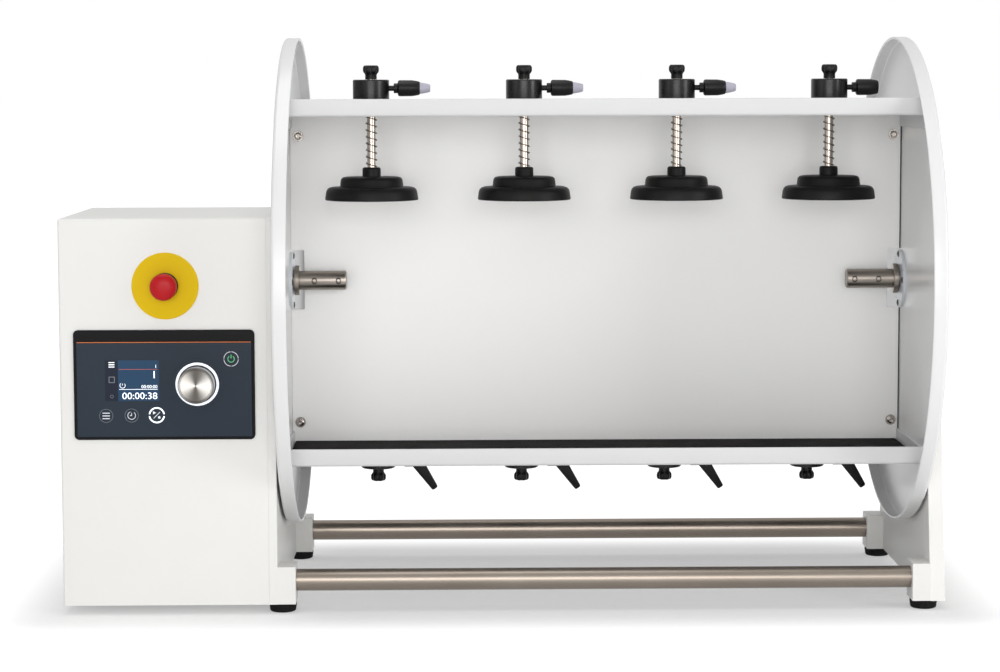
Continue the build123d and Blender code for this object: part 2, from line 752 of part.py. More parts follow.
# ================================================================ the rack
for side, name in ((-1, "left_disc"), (1, "right_disc")):
    with BuildPart() as disc:
        with BuildSketch(Plane((rack_x, 0, axis_height), x_dir=(side, 0, 0), z_dir=(0, -side, 0))):
            closed(
                [
                    (web_in, shaft_radius + seat_gap),
                    (web_out, shaft_radius + seat_gap),
                    (web_out, disc_radius),
                    (lip_reach, disc_radius),
                    (lip_reach, disc_radius - disc_sheet),
                    (web_in, disc_radius - disc_sheet),
                ]
            )
            fillet(vertices().sort_by_distance((web_out, disc_radius))[0], disc_sheet + 0.7)
            fillet(vertices().sort_by_distance((web_in, disc_radius - disc_sheet))[0], 0.7)
        revolve(axis=rack_axis)
        # tabs behind the centre panel, welded to the web
        tab_start = rack_x + side * (web_in - disc_tab_reach)
        for z in (-tab_place, tab_place):
            with BuildSketch(across(tab_start)):
                with Locations((panel_front + panel_sheet, axis_height + z)):
                    Rectangle(disc_tab_sheet, disc_tab_height, align=(Align.MIN, Align.CENTER))
            extrude(amount=side * disc_tab_reach)
        bolt_circle = hub_radius - 4
        with BuildSketch(across(rack_x + side * web_in)):
            with Locations((0, axis_height)):
                with PolarLocations(bolt_circle, 4, start_angle=90):
                    Circle(clearance_hole)
        extrude(amount=side * disc_sheet, mode=Mode.SUBTRACT)
        screw_x = rack_x + side * (web_in - tab_screw_inset)
        with BuildSketch(facing(panel_front + panel_sheet + 3)):
            with Locations((screw_x, axis_height - tab_place), (screw_x, axis_height + tab_place)):
                Circle(clearance_hole)
        extrude(amount=3, mode=Mode.SUBTRACT)
    save(disc.part, name)

# Centre panel: a sheet with a turned flange along each shelf, notched at both ends for the shafts.
panel_half = web_in - seat_gap
panel_edge = shelf_in
stub_screws = (lip_reach - 12, lip_reach - 35)
with BuildPart() as center_panel:
    with BuildSketch(across(rack_x)):
        with Locations((0, axis_height)):
            closed(
                [
                    (panel_front, -panel_edge),
                    (panel_front + panel_flange, -panel_edge),
                    (panel_front + panel_flange, panel_sheet - panel_edge),
                    (panel_front + panel_sheet, panel_sheet - panel_edge),
                    (panel_front + panel_sheet, panel_edge - panel_sheet),
                    (panel_front + panel_flange, panel_edge - panel_sheet),
                    (panel_front + panel_flange, panel_edge),
                    (panel_front, panel_edge),
                ]
            )
    extrude(amount=panel_half, both=True)
    with BuildSketch(facing(panel_front)):
        for side in (-1, 1):
            with Locations((rack_x + side * (web_in - notch_width / 2), axis_height)):
                Rectangle(notch_width, notch_height)
            for x in stub_screws:
                with Locations((rack_x + side * x, axis_height)):
                    Circle(2.6)
            screw_x = rack_x + side * (web_in - tab_screw_inset)
            with Locations((screw_x, axis_height - tab_place), (screw_x, axis_height + tab_place)):
                Circle(clearance_hole)
    extrude(amount=-panel_sheet, mode=Mode.SUBTRACT)
    # the flanges stop short of the shelf end tabs and the disc tabs
    for side in (-1, 1):
        with BuildSketch(facing(panel_front + panel_sheet)):
            for z in (-1, 1):
                flange_z = axis_height + z * (panel_edge - panel_sheet / 2)
                with Locations((rack_x + side * (web_in - 9), flange_z)):
                    Rectangle(20, panel_sheet + 1)
        extrude(amount=-panel_flange, mode=Mode.SUBTRACT)
save(center_panel.part, "center_panel")

# Shelves: one bent sheet each, with lips turned out in front and in behind, and tabs at the ends.
shelf_hole = spindle_radius + 0.6
base_screw = 4.5
base_screw_circle = 11.5
for turn, name in ((1, "top_shelf"), (-1, "bottom_shelf")):
    with BuildPart() as shelf:
        shelf_plane = Plane((rack_x, 0, axis_height), x_dir=(0, turn, 0), z_dir=(1, 0, 0))
        with BuildSketch(shelf_plane) as profile:
            d, s = shelf_half_depth, shelf_sheet
            closed(
                [
                    (-d, shelf_in), (d - s, shelf_in), (d - s, shelf_reach - shelf_lip),
                    (d, shelf_reach - shelf_lip), (d, shelf_reach), (s - d, shelf_reach),
                    (s - d, shelf_in + shelf_lip), (-d, shelf_in + shelf_lip),
                ]
            )
            for bend, radius in (
                ((-d, shelf_in), shelf_bend), ((d, shelf_reach), shelf_bend),
                ((s - d, shelf_reach), shelf_bend - s), ((d - s, shelf_in), shelf_bend - s),
            ):
                fillet(vertices().sort_by_distance(bend)[0], radius)
        extrude(amount=web_in - seat_gap, both=True)
        # the tabs leave room for the centre panel and the discs' own tabs
        tab_end = shelf_half_depth - 12
        tab_gap = (panel_front - 2, panel_front + panel_sheet + disc_tab_sheet + 2)
        for side in (-1, 1):
            with BuildSketch(across(rack_x + side * (web_in - seat_gap))):
                for low, high in ((-tab_end, tab_gap[0]), (tab_gap[1], tab_end)):
                    with Locations(((low + high) / 2, axis_height + turn * (shelf_in - shelf_tab / 2))):
                        Rectangle(high - low, shelf_tab)
            extrude(amount=-side * shelf_sheet)
        for x in clamp_xs:
            with BuildSketch(clamp_level(x, turn, shelf_in)):
                Circle(shelf_hole)
                with PolarLocations(base_screw_circle, 3, start_angle=90):
                    Circle(base_screw / 2)
            extrude(amount=shelf_sheet, mode=Mode.SUBTRACT)
    save(shelf.part, name)

# Mats: ribbed rubber, on the bottom shelf in front and under the top shelf behind.
with BuildPart() as shelf_mats:
    for turn in (-1, 1):
        near = panel_front + seat_gap if turn < 0 else -(panel_front + panel_flange + 1)
        with BuildSketch(Plane.XY.offset(axis_height + turn * shelf_in)):
            far = shelf_half_depth - shelf_sheet - 1
            length = far + near - 2 * seat_gap if turn < 0 else far + near
            with Locations((rack_x, turn * (far - length / 2))):
                Rectangle(2 * (web_in - shelf_sheet - 1), length)
        extrude(amount=-turn * mat_thickness)
save(shelf_mats.part, "shelf_mats")

# ---------------------------------------------------------------- shafts and hubs
def rack_shaft(side, shaft_end):
    """Stub, collar, hub disc and shaft in one turned piece, with a flat where the panel is bolted."""
    with BuildSketch(Plane((rack_x, 0, axis_height), x_dir=(side, 0, 0), z_dir=(0, -side, 0))) as profile:
        stub_start = collar_face - stub_length
        neck = stub_radius + 1
        groove = collar_face + collar_width - 1
        hub_face = web_in - hub_thickness
        closed(
            [
                (stub_start, 0), (stub_start, stub_radius - 0.8), (stub_start + 0.8, stub_radius),
                (collar_face, stub_radius), (collar_face, collar_radius), (groove, collar_radius),
                (groove, neck), (hub_face, neck), (hub_face, hub_radius - 0.8),
                (hub_face + 0.8, hub_radius), (web_in, hub_radius), (web_in, shaft_radius),
                (shaft_end, shaft_radius), (shaft_end, 0),
            ]
        )
    revolve(profile.sketch, axis=rack_axis)
    # flat at the back of the stub, which the centre panel is bolted to
    with BuildSketch(Plane.XY.offset(axis_height - 2 * hub_radius)) as flat:
        flat_start, flat_end = collar_face - stub_length - 1, web_in - notch_width + 0.5
        with Locations((rack_x + side * (flat_start + flat_end) / 2, panel_front)):
            Rectangle(flat_end - flat_start, 2 * stub_radius, align=(Align.CENTER, Align.MIN))
    extrude(flat.sketch, amount=4 * hub_radius, mode=Mode.SUBTRACT)
    with BuildSketch(facing(-stub_radius - 1)) as holes:
        for x in stub_screws:
            with Locations((rack_x + side * x, axis_height)):
                Circle(2.6)
    extrude(holes.sketch, amount=-3 * stub_radius, mode=Mode.SUBTRACT)
    with BuildSketch(facing(-stub_radius - 1)) as sinks:
        for x in stub_screws:
            with Locations((rack_x + side * x, axis_height)):
                Circle(3.8)
    extrude(sinks.sketch, amount=-(1 + screw_recess), mode=Mode.SUBTRACT)
    with BuildSketch(across(rack_x + side * web_in)) as bolts:
        with Locations((0, axis_height)):
            with PolarLocations(hub_radius - 4, 4, start_angle=90):
                Circle(2.1)
    extrude(bolts.sketch, amount=-side * hub_thickness, mode=Mode.SUBTRACT)


with BuildPart() as drive_shaft:
    rack_shaft(-1, web_out + disc_to_frame + left_wall + pulley_start + pulley_width + 9)
save(drive_shaft.part, "drive_shaft")

with BuildPart() as idler_shaft:
    rack_shaft(1, web_out + disc_to_frame + bearing_width + 1.5)
save(idler_shaft.part, "idler_shaft")

# ---------------------------------------------------------------- clamps
# Each clamp is built on its own upright plane; the rear row is the front row turned half a turn.
knob_rest = shelf_reach + clamp_housing_height + seat_gap
stud_start = spindle_radius + 0.4
rod_end = pad_face + 6


clamp_places = [(x, turn) for turn in (1, -1) for x in clamp_xs]

with BuildPart() as clamp_housings:
    for x, turn in clamp_places:
        with BuildSketch(clamp_profile(x, turn)):
            bore = spindle_radius + running_gap
            closed(
                [
                    (bore, shelf_reach), (clamp_housing_radius, shelf_reach),
                    (clamp_housing_radius, shelf_reach + clamp_housing_height - 0.8),
                    (clamp_housing_radius - 0.8, shelf_reach + clamp_housing_height),
                    (bore, shelf_reach + clamp_housing_height),
                ]
            )
        revolve(axis=Axis((rack_x + x, -turn * clamp_offset, 0), (0, 0, 1)))
    for x, turn in clamp_places:
        with BuildSketch(across(rack_x + x)):
            with Locations((-turn * clamp_offset, axis_height + turn * (shelf_reach + lever_height))):
                Circle(lever_stud_radius + running_gap)
        extrude(amount=clamp_housing_radius + 1, mode=Mode.SUBTRACT)
        with BuildSketch(clamp_level(x, turn, shelf_reach)):
            with PolarLocations(base_screw_circle, 3, start_angle=90):
                Circle(base_screw / 2 - 0.25)
        extrude(amount=8, mode=Mode.SUBTRACT)
save(clamp_housings.part, "clamp_housings")

with BuildPart() as clamp_springs:
    spring_low = pad_face + pad_rim + pad_step + pad_collar
    spring_length = shelf_in - spring_low - spring_wire - 2 * seat_gap
    for x, turn in clamp_places:
        start = clamp_level(x, turn, spring_low + spring_wire / 2 + seat_gap)
        with BuildLine() as coil:
            Helix(
                pitch=spring_length / spring_turns, height=spring_length, radius=spring_radius,
                center=start.origin, direction=(0, 0, turn),
            )
        with BuildSketch(Plane(origin=coil.line @ 0, z_dir=coil.line % 0)):
            Rectangle(spring_wire, spring_wire)
        sweep(path=coil.line, is_frenet=True)
save(clamp_springs.part, "clamp_springs")

for number, (x, turn) in enumerate(clamp_places, start=1):
    clamp_axis = Axis((rack_x + x, -turn * clamp_offset, 0), (0, 0, 1))

    # Spindle: a steel rod with a small lobed knob pressed on its top end.
    with BuildPart() as spindle:
        with BuildSketch(clamp_profile(x, turn)):
            neck_top = knob_rest + clamp_neck_height
            with BuildLine():
                Polyline((0, rod_end), (spindle_radius - 0.5, rod_end), (spindle_radius, rod_end + 0.5),
                         (spindle_radius, knob_rest), (clamp_neck_radius, knob_rest),
                         (clamp_neck_radius, neck_top))
                ThreePointArc((clamp_neck_radius, neck_top),
                              (clamp_knob_radius, neck_top + clamp_knob_height / 2),
                              (clamp_neck_radius, neck_top + clamp_knob_height))
                Polyline((clamp_neck_radius, neck_top + clamp_knob_height),
                         (0, neck_top + clamp_knob_height), (0, rod_end))
            make_face()
        revolve(axis=clamp_axis)
        with BuildSketch(clamp_level(x, turn, neck_top)):
            with PolarLocations(clamp_knob_radius + 1.2, 6, start_angle=30):
                Circle(1.9)
        extrude(amount=clamp_knob_height, mode=Mode.SUBTRACT)
    save(spindle.part, f"spindle_{number}")

    # Pad: a stepped rubber-faced disc with a collar that takes the rod's end.
    with BuildPart() as pad:
        step_low = pad_face + pad_rim
        step_top = step_low + pad_step
        collar_top = step_top + pad_collar
        bore = spindle_radius + running_gap
        with BuildSketch(clamp_profile(x, turn)):
            with BuildLine():
                Polyline((0, rod_end), (0, pad_face), (pad_radius - 1, pad_face), (pad_radius, pad_face + 1),
                         (pad_radius - 1, step_low - 4))
                TangentArc((pad_radius - 1, step_low - 4), (pad_radius - 5, step_low), tangent=(-0.15, 1))
                step_shoulder = (pad_step_radius - 0.8, step_top - 3)
                Polyline((pad_radius - 5, step_low), (pad_step_radius, step_low), step_shoulder)
                TangentArc(step_shoulder, (pad_step_radius - 4, step_top), tangent=(-0.15, 1))
                Polyline((pad_step_radius - 4, step_top), (pad_collar_radius, step_top),
                         (pad_collar_radius, collar_top - 1.6), (pad_collar_radius - 1.6, collar_top),
                         (bore, collar_top), (bore, rod_end), (0, rod_end))
            make_face()
        revolve(axis=clamp_axis)
    save(pad.part, f"pad_{number}")

    # Clamping lever: front levers point back at rest, rear levers point down.
    with BuildPart() as lever:
        height = shelf_reach + lever_height
        pivot_y, pivot_z = -turn * clamp_offset, axis_height + turn * height
        hub_end = lever_hub_start + lever_hub_length
        lever_axis = Axis((rack_x + x, pivot_y, pivot_z), (1, 0, 0))
        with BuildSketch(Plane((rack_x + x, pivot_y, pivot_z), x_dir=(1, 0, 0), z_dir=(0, -1, 0))):
            closed(
                [
                    (stud_start, 0), (stud_start, lever_stud_radius),
                    (lever_hub_start - 4, lever_stud_radius), (lever_hub_start - 4, 4.6),
                    (lever_hub_start, 4.6), (lever_hub_start, lever_hub_radius - 0.6),
                    (lever_hub_start + 0.6, lever_hub_radius), (hub_end - 6, lever_hub_radius),
                    (hub_end, lever_hub_radius - 1.6), (hub_end, 5.4), (hub_end + 9.6, 3.4),
                    (hub_end + 9.6, 0),
                ]
            )
        revolve(axis=lever_axis)
        arm_lean = radians(lever_arm_lean)
        arm_dir = (sin(arm_lean), cos(arm_lean), 0) if turn > 0 else (sin(arm_lean), 0, -cos(arm_lean))
        width_dir = (cos(arm_lean), -sin(arm_lean), 0) if turn > 0 else (cos(arm_lean), 0, sin(arm_lean))
        root = Vector(rack_x + x + lever_hub_start + 9, pivot_y, pivot_z)
        reach = lever_arm_reach / cos(arm_lean)
        with BuildSketch(Plane(root, x_dir=width_dir, z_dir=arm_dir)):
            RectangleRounded(12.5, 10.5, 3)
        with BuildSketch(Plane(root + Vector(*arm_dir) * reach, x_dir=width_dir, z_dir=arm_dir)):
            RectangleRounded(6.5, 6.5, 2)
        loft()
    save(lever.part, f"lever_{number}")

# ================================================================ fasteners
def pan_screw(plane, kind, shank_length):
    """A pan-head screw with a hexagon recess, standing on a plane with its shank below it."""
    head_radius, head_height, shank_radius = kind
    with BuildSketch(plane) as head:
        Circle(head_radius)
    extrude(head.sketch, amount=head_height)
    with BuildSketch(plane.offset(head_height)) as recess:
        RegularPolygon(head_radius * 0.5, 6)
    extrude(recess.sketch, amount=-head_height * 0.6, mode=Mode.SUBTRACT)
    with BuildSketch(plane) as shank:
        Circle(shank_radius)
    extrude(shank.sketch, amount=-shank_length)


with BuildPart() as rack_screws:
    for side in (-1, 1):
        for z in (-tab_place, tab_place):
            origin = (rack_x + side * (web_in - tab_screw_inset), panel_front, axis_height + z)
            pan_screw(Plane(origin, x_dir=(1, 0, 0), z_dir=(0, -1, 0)), panel_screw, panel_sheet + 2)
        for x in stub_screws:
            origin = (rack_x + side * x, screw_recess - stub_radius, axis_height)
            reach = stub_radius - screw_recess + panel_front + 1.5
            pan_screw(Plane(origin, x_dir=(1, 0, 0), z_dir=(0, -1, 0)), stub_screw, reach)
        for k in range(4):
            angle = radians(90 * k)
            y, z = (hub_radius - 4) * cos(angle), (hub_radius - 4) * sin(angle)
            origin = (rack_x + side * (web_in - hub_thickness), y, axis_height + z)
            face = Plane(origin, x_dir=(0, 1, 0), z_dir=(-side, 0, 0))
            pan_screw(face, hub_screw, hub_thickness + disc_sheet)
    for x, turn in clamp_places:
        for k in range(3):
            angle = radians(90 + 120 * k)
            plane = clamp_level(x, turn, shelf_in)
            center = plane.from_local_coords(
                Vector(base_screw_circle * cos(angle), base_screw_circle * sin(angle), 0)
            )
            with BuildSketch(Plane(center, x_dir=(1, 0, 0), z_dir=(0, 0, turn))):
                Circle(base_screw / 2 - 0.3)
            extrude(amount=9)
save(rack_screws.part, "rack_screws")

with BuildPart() as housing_screws:
    for x, z in screw_places:
        face = Plane((x, housing_back, z), x_dir=(1, 0, 0), z_dir=(0, 1, 0))
        pan_screw(face, sheet_screw, 2 * housing_sheet)
save(housing_screws.part, "housing_screws")
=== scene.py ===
"""The finished overhead bottle rotator: every seen piece in its real shape and finish."""

from math import cos, pi, radians, sin, tan

import bpy
import bmesh
from mathutils import Matrix, Vector


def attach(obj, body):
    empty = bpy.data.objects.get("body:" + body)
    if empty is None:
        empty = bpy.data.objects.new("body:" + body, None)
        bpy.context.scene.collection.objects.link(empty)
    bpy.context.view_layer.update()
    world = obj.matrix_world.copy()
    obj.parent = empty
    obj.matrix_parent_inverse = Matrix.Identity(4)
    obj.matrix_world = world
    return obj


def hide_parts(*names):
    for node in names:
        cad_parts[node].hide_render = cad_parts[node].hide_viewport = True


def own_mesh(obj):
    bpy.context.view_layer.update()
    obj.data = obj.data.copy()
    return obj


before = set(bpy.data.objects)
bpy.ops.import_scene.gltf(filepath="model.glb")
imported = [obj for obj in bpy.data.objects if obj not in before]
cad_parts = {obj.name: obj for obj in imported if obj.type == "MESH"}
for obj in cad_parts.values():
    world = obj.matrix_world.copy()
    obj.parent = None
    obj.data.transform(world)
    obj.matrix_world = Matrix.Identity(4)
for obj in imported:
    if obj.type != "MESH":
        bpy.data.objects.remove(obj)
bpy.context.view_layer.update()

# ---------------------------------------------------------------- studio
# A white sweep, soft lights over, before and on each side of the bench, and the camera a little
# above the rack's axis. The studio is set out in metres, and the pieces in millimetres.
mm = 0.001


def linear(code):
    """An sRGB hex colour as the linear values that shaders take."""
    parts = [int(code[i:i + 2], 16) / 255 for i in (1, 3, 5)]
    return [c / 12.92 if c <= 0.04045 else ((c + 0.055) / 1.055) ** 2.4 for c in parts] + [1.0]


def add(tree, kind, inputs=(), **settings):
    """Add a node with its settings; its inputs are values, or the sockets that feed them."""
    made = tree.nodes.new(kind)
    for key, value in settings.items():
        setattr(made, key, value)
    for key, value in dict(inputs).items():
        if isinstance(value, bpy.types.NodeSocket):
            tree.links.new(value, made.inputs[key])
        else:
            made.inputs[key].default_value = value
    return made


scene = bpy.context.scene
scene.view_settings.view_transform = "Standard"


def shown(name, data):
    """An object in the scene that holds a mesh, a curve, a light or a camera."""
    made = bpy.data.objects.new(name, data)
    scene.collection.objects.link(made)
    return made


world = bpy.data.worlds.new("white_room")
scene.world = world
world.use_nodes = True
room = world.node_tree
room.nodes.clear()
path = add(room, "ShaderNodeLightPath")
seen = add(room, "ShaderNodeMath", {
    0: path.outputs["Is Camera Ray"], 1: path.outputs["Is Transmission Ray"]}, operation="MAXIMUM")
shiny = add(room, "ShaderNodeMath", {0: path.outputs["Is Glossy Ray"], 1: 0.8}, operation="MULTIPLY")
level = add(room, "ShaderNodeMath", {0: seen.outputs[0], 1: shiny.outputs[0]}, operation="MAXIMUM")
strength = add(room, "ShaderNodeMath", {0: level.outputs[0], 1: 0.40}, operation="MAXIMUM")
sky = add(room, "ShaderNodeBackground", {"Color": linear("#FFFFFF"), "Strength": strength.outputs[0]})
add(room, "ShaderNodeOutputWorld", {"Surface": sky.outputs[0]})


def softbox(name, place, target, size, power):
    """A square soft light that faces a point."""
    lamp = bpy.data.lights.new(name, "AREA")
    lamp.shape = "RECTANGLE"
    lamp.size, lamp.size_y = size
    lamp.energy = power
    holder = shown(name, lamp)
    holder.location = place
    holder.rotation_euler = (Vector(target) - Vector(place)).to_track_quat("-Z", "Y").to_euler()


scene.cycles.caustics_reflective = False
scene.cycles.sample_clamp_indirect = 1.5
softbox("overhead_light", (-0.3, -0.1, 2.2), (0, 0, 0.25), (1.6, 1.2), 12)
softbox("front_light", (-0.1, -3.0, 0.65), (0.05, 0, 0.27), (1.9, 1.1), 28.5)
softbox("left_light", (-2.1, -1.4, 0.9), (0, 0, 0.25), (0.7, 1.6), 3)
softbox("right_light", (2.1, -1.5, 0.7), (0, 0, 0.25), (0.7, 1.4), 20)

# Near the object the paper takes its soft shadow; further out it glows an even white.
floor_mesh = bpy.data.meshes.new("floor")
floor_mesh.from_pydata([(-20, -20, 0), (20, -20, 0), (20, 30, 0), (-20, 30, 0)], [], [(0, 1, 2, 3)])
floor = shown("floor", floor_mesh)
floor_paint = bpy.data.materials.new("white_sweep_paper")
floor_paint.use_nodes = True
paper = floor_paint.node_tree
paper.nodes.clear()
matt = add(paper, "ShaderNodeBsdfDiffuse", {"Color": linear("#F4F4F4")})
glow = add(paper, "ShaderNodeEmission", {"Color": linear("#FFFFFF"), "Strength": 1.15})
eye = add(paper, "ShaderNodeLightPath")
sight = add(paper, "ShaderNodeMath", {
    0: eye.outputs["Is Camera Ray"], 1: eye.outputs["Is Glossy Ray"]}, operation="MAXIMUM")
clear = add(paper, "ShaderNodeMath", {
    0: sight.outputs[0], 1: eye.outputs["Is Transmission Ray"]}, operation="MAXIMUM")
spot = add(paper, "ShaderNodeTexCoord")
plain = add(paper, "ShaderNodeVectorMath", {0: spot.outputs["Object"]}, operation="ABSOLUTE")
past = add(paper, "ShaderNodeVectorMath", {0: plain.outputs[0], 1: (0.40, 0.16, 0)}, operation="SUBTRACT")
beyond = add(paper, "ShaderNodeVectorMath", {0: past.outputs[0], 1: (0, 0, 0)}, operation="MAXIMUM")
away = add(paper, "ShaderNodeVectorMath", {0: beyond.outputs[0]}, operation="LENGTH")
fade = add(paper, "ShaderNodeMapRange", {
    "Value": away.outputs["Value"], "From Min": 0.0, "From Max": 0.095, "To Min": 0.32, "To Max": 1.0},
    interpolation_type="SMOOTHSTEP")
share = add(paper, "ShaderNodeMath", {0: clear.outputs[0], 1: fade.outputs[0]}, operation="MULTIPLY")
both = add(paper, "ShaderNodeMixShader", {0: share.outputs[0], 1: matt.outputs[0], 2: glow.outputs[0]})
add(paper, "ShaderNodeOutputMaterial", {"Surface": both.outputs[0]})
floor_mesh.materials.append(floor_paint)

lens = bpy.data.cameras.new("camera")
lens.sensor_width = 36
lens.lens = 90.72
lens.shift_y = -0.03045
lens.clip_end = 60
camera = shown("camera", lens)
yaw, pitch, roll = radians(0.8576), radians(5.0), -0.0026
level_right = Vector((cos(yaw), -sin(yaw), 0))
ahead = Vector((cos(pitch) * sin(yaw), cos(pitch) * cos(yaw), -sin(pitch)))
level_up = level_right.cross(ahead)
right = level_right * cos(roll) + level_up * sin(roll)
up = level_up * cos(roll) - level_right * sin(roll)
camera.matrix_world = Matrix.Translation((-0.0383, -2.4143, 0.4802)) @ Matrix(
    (right, up, -ahead)
).transposed().to_4x4()
scene.camera = camera

# ---------------------------------------------------------------- right side frame
# One casting that narrows to a round head at the bearing, with two foot blocks inside it.
# Powder coated in warm white: satin, with the faint orange peel that baked powder has. Real
# grain is finer: all over the model it is drawn 0.5 to 1.6 mm across, or it would not show.
axis_z = 294.0                      # the rack's axis above the bench
rack_x = 90.7                       # the rack's middle
foot_line = 8.5                     # the underside of the frames and the housing
block_in, block_top = 282, 43       # the foot blocks' inner face and top
row_y = 130                         # the rows of rods, blocks and feet, in front and behind
x_way, y_way, z_way = (1, 0, 0), (0, 1, 0), (0, 0, 1)


def finish(name, colour, roughness, metallic=0.0, **sockets):
    """A material with its plain values set, and its tree and shader to add patterns to."""
    made = bpy.data.materials.new(name)
    made.use_nodes = True
    shader = made.node_tree.nodes["Principled BSDF"]
    shader.inputs["Base Color"].default_value = linear(colour)
    shader.inputs["Roughness"].default_value = roughness
    shader.inputs["Metallic"].default_value = metallic
    for key, value in sockets.items():
        shader.inputs[key.replace("_", " ")].default_value = value
    return made, made.node_tree, shader


def coated(name, colour, roughness, metallic=0.0, grain=1.0, depth=0.0, colours=None, rough=None,
           patch=60.0, stretch=(1, 1, 1), **sockets):
    """A finish with its grain in mm, the depth of it in mm, and slow drifts in colour and gloss."""
    made, tree, shader = finish(name, colour, roughness, metallic, **sockets)
    place = add(tree, "ShaderNodeTexCoord")
    slow = add(tree, "ShaderNodeTexNoise", {
        "Vector": place.outputs["Object"], "Scale": 1 / (patch * mm), "Detail": 4.0, "Roughness": 0.6})
    if depth:
        turned_to = add(
            tree, "ShaderNodeMapping", {"Vector": place.outputs["Object"], "Scale": stretch})
        fine = add(tree, "ShaderNodeTexNoise", {
            "Vector": turned_to.outputs[0], "Scale": 1 / (grain * mm), "Detail": 3.0,
            "Roughness": 0.55})
        relief = add(tree, "ShaderNodeBump", {
            "Height": fine.outputs["Fac"], "Distance": depth * mm, "Strength": 1.0})
        tree.links.new(relief.outputs[0], shader.inputs["Normal"])
    if colours:
        drift = add(tree, "ShaderNodeMix", {
            "Factor": slow.outputs["Fac"], "A": linear(colours[0]), "B": linear(colours[1])},
            data_type="RGBA")
        tree.links.new(drift.outputs["Result"], shader.inputs["Base Color"])
    if rough:
        mottle = slow
        if depth:
            mottle = add(tree, "ShaderNodeMath", {
                0: slow.outputs["Fac"], 1: fine.outputs["Fac"]}, operation="MULTIPLY")
        gloss = add(tree, "ShaderNodeMapRange", {
            "Value": mottle.outputs[0], "From Min": 0.15, "From Max": 0.4 if depth else 0.85,
            "To Min": rough[0], "To Max": rough[1]})
        tree.links.new(gloss.outputs[0], shader.inputs["Roughness"])
    return made


powder_coat = coated(
    "powder_coated_steel", "#EDECE9", 0.42, grain=1.1, depth=0.010, colours=("#EBEAE7", "#F0EFEC"),
    rough=(0.36, 0.46))


def piece(name, mesh, material, sharp=14, body="stand"):
    """Put a mesh in the scene as a shaded piece that rides on a body."""
    mesh.name = name
    if material:
        mesh.materials.clear()
        mesh.materials.append(material)
    work = bmesh.new()
    work.from_mesh(mesh)
    bmesh.ops.remove_doubles(work, verts=work.verts, dist=1e-7)
    bmesh.ops.recalc_face_normals(work, faces=work.faces)
    work.to_mesh(mesh)
    work.free()
    mesh.shade_smooth()
    mesh.set_sharp_from_angle(angle=radians(sharp))
    made = shown(name, mesh)
    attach(made, body)
    return made


def rounded(corners, radius=0.0, steps=5):
    """A closed outline with its corners rounded; a corner may carry its own radius."""
    points = []
    count = len(corners)
    for i, corner in enumerate(corners):
        here = Vector(corner[:2])
        size = corner[2] if len(corner) > 2 else radius
        before = Vector(corners[i - 1][:2]) - here
        after = Vector(corners[(i + 1) % count][:2]) - here
        if size <= 0:
            points.append(tuple(here))
            continue
        half = before.angle(after) / 2
        reach = size / tan(half)
        centre = here + (before.normalized() + after.normalized()).normalized() * (size / sin(half))
        start = here + before.normalized() * reach - centre
        end = here + after.normalized() * reach - centre
        sweep = start.angle_signed(end)
        for k in range(steps + 1):
            turn = -sweep * k / steps
            points.append((
                centre.x + start.x * cos(turn) - start.y * sin(turn),
                centre.y + start.x * sin(turn) + start.y * cos(turn)))
    return points


def ring_of(x, y, radius, steps=48):
    """A circle as an outline."""
    return [
        (x + radius * cos(2 * pi * k / steps), y + radius * sin(2 * pi * k / steps))
        for k in range(steps)
    ]


def settled(holder):
    """The plain mesh that an object comes to once its modifiers are worked out."""
    bpy.context.view_layer.update()
    mesh = bpy.data.meshes.new_from_object(
        holder.evaluated_get(bpy.context.evaluated_depsgraph_get()))
    bpy.data.objects.remove(holder)
    return mesh


def plate(outlines, thickness, origin, along, upward, edge=0.4):
    """A flat plate with eased edges: an outline, then its holes, drawn on a plane and pushed out."""
    curve = bpy.data.curves.new("outline", "CURVE")
    curve.dimensions = "2D"
    curve.fill_mode = "BOTH"
    curve.extrude = (thickness / 2 - edge) * mm
    curve.bevel_depth = edge * mm
    curve.bevel_resolution = 2 if edge else 0
    curve.offset = -edge * mm
    for outline in outlines:
        spline = curve.splines.new("POLY")
        spline.points.add(len(outline) - 1)
        for point, (x, y) in zip(spline.points, outline):
            point.co = (x * mm, y * mm, 0, 1)
        spline.use_cyclic_u = True
    mesh = settled(shown("outline", curve))
    along, upward = Vector(along), Vector(upward)
    outward = along.cross(upward)
    turn = Matrix((along, upward, outward)).transposed().to_4x4()
    shift = Matrix.Translation((Vector(origin) + outward * thickness / 2) * mm)
    mesh.transform(shift @ turn)
    return mesh


def joined(meshes):
    """Several meshes made one."""
    work = bmesh.new()
    for mesh in meshes:
        work.from_mesh(mesh)
    whole = bpy.data.meshes.new("joined")
    work.to_mesh(whole)
    work.free()
    return whole


def block(low, high, edge=1.0, steps=3):
    """A box from two corners, with rounded edges."""
    work = bmesh.new()
    bmesh.ops.create_cube(work, size=1)
    for vert in work.verts:
        vert.co = [(low[i] + high[i]) / 2 * mm + vert.co[i] * (high[i] - low[i]) * mm for i in range(3)]
    if edge:
        bmesh.ops.bevel(
            work, geom=work.edges[:], offset=edge * mm, segments=steps, profile=0.5, affect="EDGES")
    mesh = bpy.data.meshes.new("block")
    work.to_mesh(mesh)
    work.free()
    return mesh


